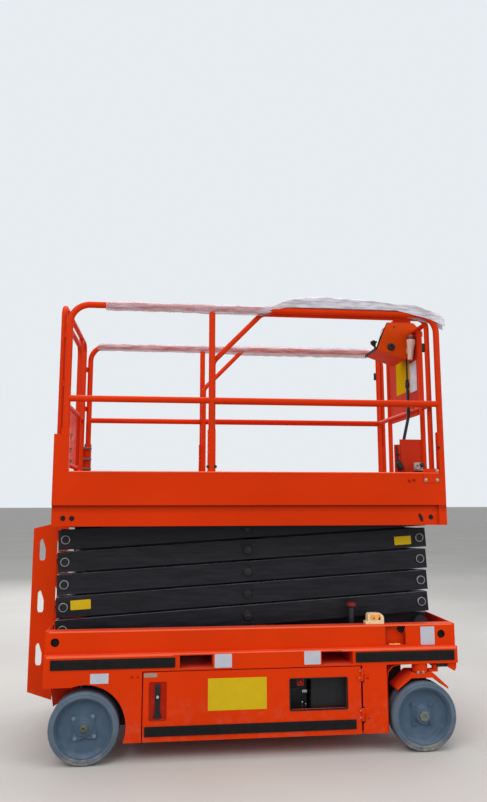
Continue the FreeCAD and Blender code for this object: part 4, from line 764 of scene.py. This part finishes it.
def platform_dress(name, side):
    """Black discs and an oval as painted shade in the band's holes and slot, painted highlight beads on the toe board,
    corner plate and socket bolts of the platform's side.
    """
    # Painted shade: black discs and a slanted oval stand for the dark inside the band's holes and slot.
    bm = bmesh.new()
    for x, z in ((-1.036, 1.317), (-0.987, 1.316), (1.123, 1.318)):
        turned(bm, (x, side * BAND_SIDE, z), (0, side, 0), [(0, 0.0145), (0.002, 0.0145), (0.0032, 0.013), (0.0032, 0.009),
                                                           (0.0012, 0.008), (0.0012, 0)], 28)
    lean = Vector((0.36, 0, -0.93)).normalized()
    across = Vector((lean.z, 0, -lean.x))
    oval = [Vector((1.061, side * (BAND_SIDE + 0.003), 1.315)) + lean * (0.026 * math.cos(a)) + across * (0.010 * math.sin(a))
            for a in (math.tau * k / 24 for k in range(24))]
    prism(bm, oval, (0, -side * 0.003, 0))
    piece(bm, "band_hole_shades_" + name, "platform", "strip", 0.0004)
    # Painted highlight: round beads in light orange along the toe board's top edges.
    bm = bmesh.new()
    for x, y, low in (((-1.012, 1.178), side * TOE_SIDE, 1.5800), ((-1.060, 1.150), side * 0.5270, 1.5715)):
        turned(bm, (x[0], y, low), (1, 0, 0), [(0, 0), (0, 0.0036), (x[1] - x[0], 0.0036), (x[1] - x[0], 0)], 12)
    piece(bm, "toeboard_highlight_beads_" + name, "platform", "lit")
    spots = [(x, side * TOE_SIDE, z) for x, z in ((0.993, 1.532), (1.022, 1.538))]
    bolts("toeboard_screws_" + name, "platform", "pan", spots, (0, side, 0), 0.010)
    label("corner_plate_" + name, "platform", "rail", side, (1.079, 1.181), (1.522, 1.607), TOE_SIDE, 0.003, 0.010)
    spots = [(x, side * (TOE_SIDE + 0.003), z) for x, z in ((1.094, 1.537), (1.166, 1.537), (1.166, 1.593))]
    bolts("corner_screws_" + name, "platform", "zinc", spots, (0, side, 0), 0.011)
    spots = [(x, side * TOE_SIDE, z) for x, z in ((-0.175, 1.612), (-0.219, 1.612), (1.183, 1.734))]
    bolts("socket_bolts_" + name, "platform", "dark", spots, (0, side, 0), 0.010)
    bm = bmesh.new()
    for z in (1.646, 1.716, 1.796):
        turned(bm, (-1.0610, side * 0.5150, z), (1, 0, 0), [(-0.004, 0), (-0.004, 0.011), (0.004, 0.011), (0.004, 0.007),
                                                          (0.050, 0.007), (0.056, 0.004), (0.056, 0)], 20)
        turned(bm, (-1.018, side * 0.5150, z - 0.013), (1, 0, 0), [(0, 0.0125), (0.0028, 0.0140), (0.0056, 0.0125), (0.0028, 0.0110)],
               28, closed=True)
    piece(bm, "rear_guard_pins_" + name, "platform", "nut", 0.0004)
    bm = bmesh.new()
    for x, z in ((-1.0785, 2.385), (-1.0785, 2.090)):
        block(bm, (x + 0.012, x + 0.023), (side * 0.520, side * 0.556), (z - 0.017, z + 0.017))
    piece(bm, "guard_ties_" + name, "platform", "rail", 0.0012)
    bm = bmesh.new()
    turned(bm, (1.1400, side * SLIDE_PLANE, 2.342), (0, 0, 1), [(0, 0), (0, 0.0070), (0.004, 0.0085), (0.050, 0.0085), (0.056, 0.006), (0.056, 0)], 24)
    turned(bm, (1.142, side * SLIDE_PLANE, 2.368), (1, 0, 0), [(0, 0.0045), (0.009, 0.0045)], 16)
    piece(bm, "slide_lock_" + name, "extension", "plastic", 0.0006)
    spots = [(1.181, side * y, z) for y in (0.506,) for z in (1.470, 1.530)]
    bolts("slide_post_bolts_" + name, "extension", "zinc", spots, (1, 0, 0), 0.014)


def gate_dress():
    """Sheet panel in the lower half of the entry gate."""
    low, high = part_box("rear_rail")
    middle = (low[0] + high[0]) / 2
    bm = bmesh.new()
    block(bm, (middle - 0.0015, middle + 0.0015), (-0.238, 0.238), (1.632, 1.998))
    for y in (-0.236, 0.236):
        block(bm, (middle + 0.0015, middle + 0.0175), (y - 0.0015, y + 0.0015), (1.660, 1.985))
    piece(bm, "gate_panel", BODY_OF["entry_gate"], "rail", 0.0008)


def face_plate(bm, x, y, z, thick):
    """Adds a plate with round corners that faces the platform, at a plane across it."""
    prism(bm, [(x, a, b) for a, b in rounded((y[0], z[0]), (y[1], z[1]), 0.004)], (-thick, 0, 0))


def slanted(foot, head, y, out, thick, along=(0.0, 1.0)):
    """Corners of a plate that lies on a slanted face of the control box, and its depth."""
    foot, head = Vector((foot[0], 0, foot[1])), Vector((head[0], 0, head[1]))
    run = head - foot
    normal = Vector((-run.z, 0, run.x)).normalized()
    low = foot + run * along[0] + normal * out
    high = foot + run * along[1] + normal * out
    corners = [(low.x, y[0], low.z), (low.x, y[1], low.z), (high.x, y[1], high.z), (high.x, y[0], high.z)]
    return corners, normal * thick, normal


BOX_OUTLINE = [(0.905, 2.408), (0.935, 2.485), (0.985, 2.590), (1.1487, 2.590), (1.1487, 2.380), (1.1037, 2.340)]
BOX_INSIDE = [(0.905, 2.408), (0.908, 2.418), (0.982, 2.436), (1.020, 2.590), (1.1487, 2.590), (1.1487, 2.380), (1.1037, 2.340)]
PANEL_FOOT = (0.982, 2.436)
PANEL_HEAD = (1.020, 2.590)


def control_box_shell():
    """Sheet-metal box whose panel and joystick shelf lie back between its cheeks."""
    bm = bmesh.new()
    prism(bm, [(x, -0.2835, z) for x, z in BOX_INSIDE], (0, 0.2470, 0))
    prism(bm, [(x, -0.2850, z) for x, z in BOX_OUTLINE], (0, 0.0030, 0))
    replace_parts(piece(bm, "control_box_shell", "extension", "box", 0.0008), "control_box")
    bm = bmesh.new()
    prism(bm, [(x, -0.2862, z) for x, z in ((0.9030, 2.4055), (0.9325, 2.4860), (0.9835, 2.5895), (0.9865, 2.5895), (0.9420, 2.4830),
                                           (0.9120, 2.4055))], (0, 0.0050, 0))
    prism(bm, [(0.9030, y, z) for y, z in ((-0.2850, 2.4020), (-0.0350, 2.4020), (-0.0350, 2.4190), (-0.2850, 2.4190))], (0.0060, 0, 0))
    piece(bm, "box_edge_trim", "extension", "strip", 0.0006)
    # The lid takes the darker red as painted shade on the box's top.
    bm = bmesh.new()
    prism(bm, [(x, -0.2845, z) for x, z in ((1.024, 2.588), (1.1487, 2.588), (1.1487, 2.6080), (1.030, 2.6080))], (0, 0.2490, 0))
    piece(bm, "box_lid", "extension", "pan", 0.002)


def control_box_dress():
    """Panels, joystick, switches, gland, rain hood and connector of the upper controls."""
    body = "extension"
    bm = bmesh.new()
    corners, depth, upper = slanted(PANEL_FOOT, PANEL_HEAD, (-0.275, -0.045), 0.0, 0.003, (0.06, 0.94))
    prism(bm, corners, depth)
    piece(bm, "control_panel", body, "grey", 0.001)
    stick = bmesh.new()
    turned(stick, (0.948, -0.160, 2.424), (-0.38, 0, 0.92),
           [(0, 0), (0, 0.024), (0.005, 0.024), (0.008, 0.018), (0.011, 0.020), (0.014, 0.014), (0.018, 0.016), (0.022, 0.008),
            (0.036, 0.008), (0.041, 0.014), (0.054, 0.0185), (0.068, 0.018), (0.074, 0.012), (0.076, 0)], 36)
    block(stick, (0.936, 0.950), (-0.172, -0.148), (2.478, 2.488))
    piece(stick, "joystick", body, "plastic", 0.0008)
    bits = bmesh.new()
    middle = (Vector((PANEL_FOOT[0], 0, PANEL_FOOT[1])) + Vector((PANEL_HEAD[0], 0, PANEL_HEAD[1]))) / 2 + upper * 0.003
    for y in (-0.262, -0.237, -0.212):
        turned(bits, middle + Vector((0, y, 0)), upper, [(0, 0), (0, 0.0085), (0.003, 0.0085), (0.004, 0.0055), (0.008, 0.0045), (0.020, 0.003),
                                                       (0.024, 0.0042), (0.026, 0)], 20)
    turned(bits, middle + Vector((0.006, -0.200, 0.045)), upper, [(0, 0), (0, 0.014), (0.003, 0.014), (0.003, 0.010), (0.012, 0.009), (0.012, 0)], 24)
    piece(bits, "panel_switches", body, "chrome", 0.0004)
    stop = bmesh.new()
    turned(stop, middle + Vector((0, -0.140, -0.020)), upper, [(0, 0), (0, 0.014), (0.008, 0.014), (0.009, 0.019), (0.016, 0.020), (0.021, 0.016),
                                                                 (0.023, 0)], 36)
    piece(stop, "panel_stop_button", body, "knob", 0.0006)
    bm = bmesh.new()
    turned(bm, (1.008, -0.285, 2.423), (0, -1, 0), [(0, 0.026), (0.003, 0.026), (0.004, 0.023), (0.010, 0.023), (0.012, 0.020), (0.012, 0.012),
                                                   (0.007, 0.010), (0.007, 0)], 36)
    turned(bm, (1.032, -0.285, 2.560), (0, -1, 0), [(0, 0), (0, 0.0060), (0.002, 0.0055), (0.0035, 0.003), (0.0035, 0)], 16)
    piece(bm, "box_gland", body, "plastic", 0.0006)
    hood = bmesh.new()
    start = Vector((1.126, -0.312, 2.333))
    turned(hood, start, (0.085, 0, 1), [(0, 0.008), (0, 0.016), (0.020, 0.018), (0.060, 0.020), (0.100, 0.027), (0.136, 0.031), (0.140, 0.030),
                                       (0.140, 0.026), (0.060, 0.014), (0, 0.008)], 40)
    block(hood, (1.112, 1.142), (-0.300, -0.285), (2.380, 2.420))
    piece(hood, "cable_hood", body, "hood", 0.0008)
    cap = bmesh.new()
    turned(cap, start + Vector((0.085, 0, 1)).normalized() * 0.134, (0.085, 0, 1), [(0, 0), (0, 0.0315), (0.012, 0.0310), (0.024, 0.026),
                                                                                 (0.034, 0.015), (0.037, 0)], 36)
    piece(cap, "cable_hood_cap", body, "knob")
    bm = bmesh.new()
    for z, r, h in ((2.160, 0.015, 0.034), (2.196, 0.0115, 0.018)):
        turned(bm, (1.1262, -0.240, z), (0, 0, 1), [(0, 0.0065), (0, r * 0.85), (0.003, r), (h - 0.003, r), (h, r * 0.85), (h, 0.0065)], 28)
    for z, x in ((1.990, 1.1262), (1.560, 1.0862)):
        turned(bm, (x, -0.240, z), (0, 0, 1), [(0, 0.0102), (0, 0.0135), (0.016, 0.0135), (0.016, 0.0102)], 24)
    turned(bm, (1.0862, -0.240, 1.4364), (0, 0, 1), [(0, 0.0104), (0, 0.030), (0.005, 0.030), (0.010, 0.018), (0.050, 0.015), (0.054, 0.0104)], 32)
    piece(bm, "cable_fittings", body, "plastic", 0.0006)
    arm = bmesh.new()
    for y in (-0.250, -0.070):
        block(arm, (1.1487, 1.1640), (y - 0.016, y + 0.016), (2.512, 2.540))
        block(arm, (1.1487, 1.1640), (y - 0.016, y + 0.016), (2.020, 2.024))
    piece(arm, "box_brackets", body, "rail", 0.001)
    bm = bmesh.new()
    cheek = [(1.100, 2.590), (1.165, 2.590), (1.228, 2.530), (1.228, 2.500), (1.186, 2.484), (1.1487, 2.520)]
    prism(bm, [(x, -0.2852, z) for x, z in cheek], (0, 0.004, 0))
    prism(bm, [(x, -0.0390, z) for x, z in cheek], (0, 0.004, 0))
    piece(bm, "box_cheeks", body, "box", 0.0008)


def front_guard_dress():
    """Bare plates on the front panels, the outlet and the parked plug."""
    bm = bmesh.new()
    face_plate(bm, 1.1629, (-0.190, 0.075), (2.150, 2.375), 0.0012)
    piece(bm, "front_yellow_sign", "extension", "guard_yellow", 0.0003)
    bm = bmesh.new()
    face_plate(bm, 1.1629, (-0.318, -0.196), (2.130, 2.330), 0.0012)
    piece(bm, "front_white_sign", "extension", "white", 0.0003)
    face = 0.3852
    bm = bmesh.new()
    side_plate(bm, -1, (1.094, 1.147), (1.602, 1.652), face, 0.026, 0.006)
    turned(bm, (1.108, -face - 0.026, 1.627), (0, -1, 0), [(0, 0.021), (0.010, 0.021), (0.013, 0.018), (0.013, 0.009), (0.006, 0.008), (0.006, 0)], 36)
    piece(bm, "outlet_cover", "extension", "grey", 0.0015)
    bm = bmesh.new()
    prism(bm, [(0.972, -face + 0.0002, 1.440), (1.012, -face + 0.0002, 1.440), (1.012, -face + 0.0002, 1.768),
               (0.972, -face + 0.0002, 1.766)], (0, 0.004, 0))
    piece(bm, "plug_bracket", "extension", "rail", 0.0008)
    bm = bmesh.new()
    turned(bm, (1.130, -face - 0.026, 1.634), (0.35, -1, 0.25), [(0, 0.013), (0.022, 0.013), (0.024, 0.011), (0.024, 0)], 28)
    piece(bm, "outlet_plug", "extension", "plastic", 0.0008)
    bm = bmesh.new()
    lean = Vector((0.36, 0, -0.93)).normalized()
    turned(bm, Vector((0.986, -0.398, 1.668)), lean, [(0, 0), (0, 0.010), (0.012, 0.013), (0.020, 0.019), (0.060, 0.021), (0.066, 0.018), (0.066, 0)], 28)
    turned(bm, (0.9880, -0.393, 1.665), (-0.03, 0, 1), [(-0.004, 0), (-0.004, 0.0058), (0.095, 0.0052), (0.099, 0)], 20)
    block(bm, (0.990, 1.000), (-0.394, -0.384), (1.640, 1.652))
    block(bm, (0.980, 1.002), (-0.400, -0.384), (1.700, 1.708))
    piece(bm, "parked_plug", "extension", "plastic", 0.0008)


def between(rows, x):
    """Reads a height off a row of (x, height) points."""
    for (x0, z0), (x1, z1) in zip(rows, rows[1:]):
        if x <= x1:
            blend = (x - x0) / (x1 - x0)
            return z0 + (z1 - z0) * blend
    return rows[-1][1]


FILM_TOP = [(-0.830, 2.592), (-0.200, 2.594), (-0.020, 2.592), (0.070, 2.590), (0.190, 2.611), (0.280, 2.643), (0.380, 2.658),
            (0.470, 2.664), (0.630, 2.658), (0.776, 2.653), (0.860, 2.640), (0.940, 2.633), (1.066, 2.631), (1.175, 2.597),
            (1.235, 2.575), (1.262, 2.548)]
FILM_LOW = [(-0.830, 2.546), (0.050, 2.546), (0.119, 2.556), (0.188, 2.580), (0.300, 2.588), (0.946, 2.588), (1.165, 2.537),
            (1.262, 2.492)]


def smooth(value):
    """Rises gently from 0 to 1 as the value does."""
    value = min(1.0, max(0.0, value))
    return value * value * (3 - 2 * value)


def wrapped_film(name, side, x0, x1, look, loose=False, pair=None):
    """A sheet of film wrapped round the top rail, which stands off it towards the front where it is loose."""
    stations = int((x1 - x0) / 0.0055)
    across = 30
    bm = bmesh.new()
    bmesh.ops.create_grid(bm, x_segments=stations, y_segments=across, size=0.5)
    for vert in bm.verts:
        x = x0 + (x1 - x0) * (vert.co.x + 0.5)
        t = vert.co.y + 0.5
        angle = math.radians(-170 + 340 * t)
        rough = noise.noise(Vector((x * 5.0, 2.6 * t + side, 0.4))) * 0.8
        rough += noise.noise(Vector((x * 15.0, 5.0 * t, side * 2.0))) * 0.45
        rough += abs(noise.noise(Vector((x * 34.0 + t * 6.0, 8.0 * t, side * 5.0)))) * 0.25
        reach = 0.0226 + 0.0032 * max(-0.4, rough + 0.25)
        sag = max(0.0, -math.cos(angle)) * (0.010 + 0.006 * rough)
        y, z = math.sin(angle) * reach, 2.570 + math.cos(angle) * reach - sag
        if pair:
            wide = smooth((x - pair[0]) / (pair[1] - pair[0]))
            y = y * (1 + wide * 1.20) - side * wide * 0.0245
            z = z + wide * (z - 2.570) * 0.28 - wide * 0.0060
        if loose:
            tent = smooth((x - 0.06) / 0.20)
            top, low = between(FILM_TOP, x), between(FILM_LOW, x)
            lift = 1 - abs(2 * t - 1) ** 2.2
            width = 0.0215 * math.copysign(abs(2 * t - 1) ** 0.55, 2 * t - 1)
            sway = 0.010 * noise.noise(Vector((x * 6.0, 1.7, 0.0))) * lift
            far = low - 0.012 * max(0.0, 2 * t - 1)
            y2 = width + sway + 0.0045 * rough * lift
            z2 = far + (top - far) * lift + 0.003 * rough * (1 - lift)
            y, z = y + (y2 - y) * tent, z + (z2 - z) * tent
        vert.co = (x, side * RAIL_PLANE + y, z)
    area = sum(face.calc_area() for face in bm.faces)
    sheet = piece(bm, "film_wrap_" + name, "platform", look, angle=180)
    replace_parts(sheet, "rail_film_" + name)


def floor_and_light():
    """Plain floor, pale sky and soft lamps."""
    bm = bmesh.new()
    bmesh.ops.create_grid(bm, x_segments=1, y_segments=1, size=150.0)
    mesh = bpy.data.meshes.new("floor")
    bm.to_mesh(mesh)
    bm.free()
    g = Graph("floor")
    tone = g.mix(g.band(g.noise(0.6, 6.0), 0.3, 0.7), (0.50, 0.48, 0.45), (0.56, 0.54, 0.51))
    mesh.materials.append(g.finish(tone, g.band(g.noise(3.0), 0.3, 0.7, 0.85, 0.95)))
    floor = bpy.data.objects.new("floor", mesh)
    scene.collection.objects.link(floor)
    world = bpy.data.worlds.new("sky")
    scene.world = world
    world.use_nodes = True
    tree = world.node_tree
    shade = tree.nodes["Background"]
    shade.inputs["Color"].default_value = (0.93, 0.96, 1.0, 1.0)
    shade.inputs["Strength"].default_value = 0.56
    seen = tree.nodes.new("ShaderNodeBackground")
    seen.inputs["Color"].default_value = (0.80, 0.84, 0.88, 1.0)
    seen.inputs["Strength"].default_value = 1.0
    path = tree.nodes.new("ShaderNodeLightPath")
    either = tree.nodes.new("ShaderNodeMath")
    either.operation = "MAXIMUM"
    tree.links.new(path.outputs["Is Camera Ray"], either.inputs[0])
    tree.links.new(path.outputs["Is Glossy Ray"], either.inputs[1])
    most = tree.nodes.new("ShaderNodeMath")
    most.operation = "MAXIMUM"
    tree.links.new(either.outputs["Value"], most.inputs[0])
    tree.links.new(path.outputs["Is Transmission Ray"], most.inputs[1])
    blend = tree.nodes.new("ShaderNodeMixShader")
    tree.links.new(most.outputs["Value"], blend.inputs["Fac"])
    tree.links.new(shade.outputs["Background"], blend.inputs[1])
    tree.links.new(seen.outputs["Background"], blend.inputs[2])
    tree.links.new(blend.outputs["Shader"], tree.nodes["World Output"].inputs["Surface"])
    lamps = (("key", (-3.5, -6.0, 6.5), 5.0, 330.0, (1.0, 0.985, 0.96)),
             ("fill", (5.5, -4.5, 4.0), 4.0, 130.0, (0.96, 0.98, 1.0)),
             ("top", (0.5, 0.5, 8.0), 6.0, 380.0, (0.97, 0.98, 1.0)),
             ("back", (-2.0, 7.0, 4.5), 5.0, 180.0, (0.97, 0.98, 1.0)))
    for name, place, size, power, colour in lamps:
        data = bpy.data.lights.new(name, "AREA")
        data.size = size
        data.energy = power
        data.color = colour
        lamp = bpy.data.objects.new(name, data)
        lamp.location = place
        lamp.rotation_euler = (Vector((0, 0, 1.2)) - Vector(place)).to_track_quat("-Z", "Y").to_euler()
        scene.collection.objects.link(lamp)
    scene.view_settings.view_transform = "Standard"


make_camera()
dress_frame()
for level in range(1, 6):
    soften("outer_arms_%d" % level, 0.005)
    soften("inner_arms_%d" % level, 0.005)
for name in ("chassis_frame", "platform_frame", "rear_ladder"):
    soften(name, 0.003)
arm_pins()
window_dress()
beacon_dress()
lowering_knob()
gate_dress()
for name, side in SIDES.items():
    wheel("rear", name, side)
    wheel("front", name, side)
    door_dress(name, side)
    chassis_dress(name, side)
    arch_plates(name, side)
    platform_dress(name, side)
control_box_shell()
control_box_dress()
front_guard_dress()
wrapped_film("near", -1, -0.830, 1.262, "loose", loose=True)
wrapped_film("far", 1, -0.990, 1.095, "film", pair=(-0.10, 0.06))
floor_and_light()
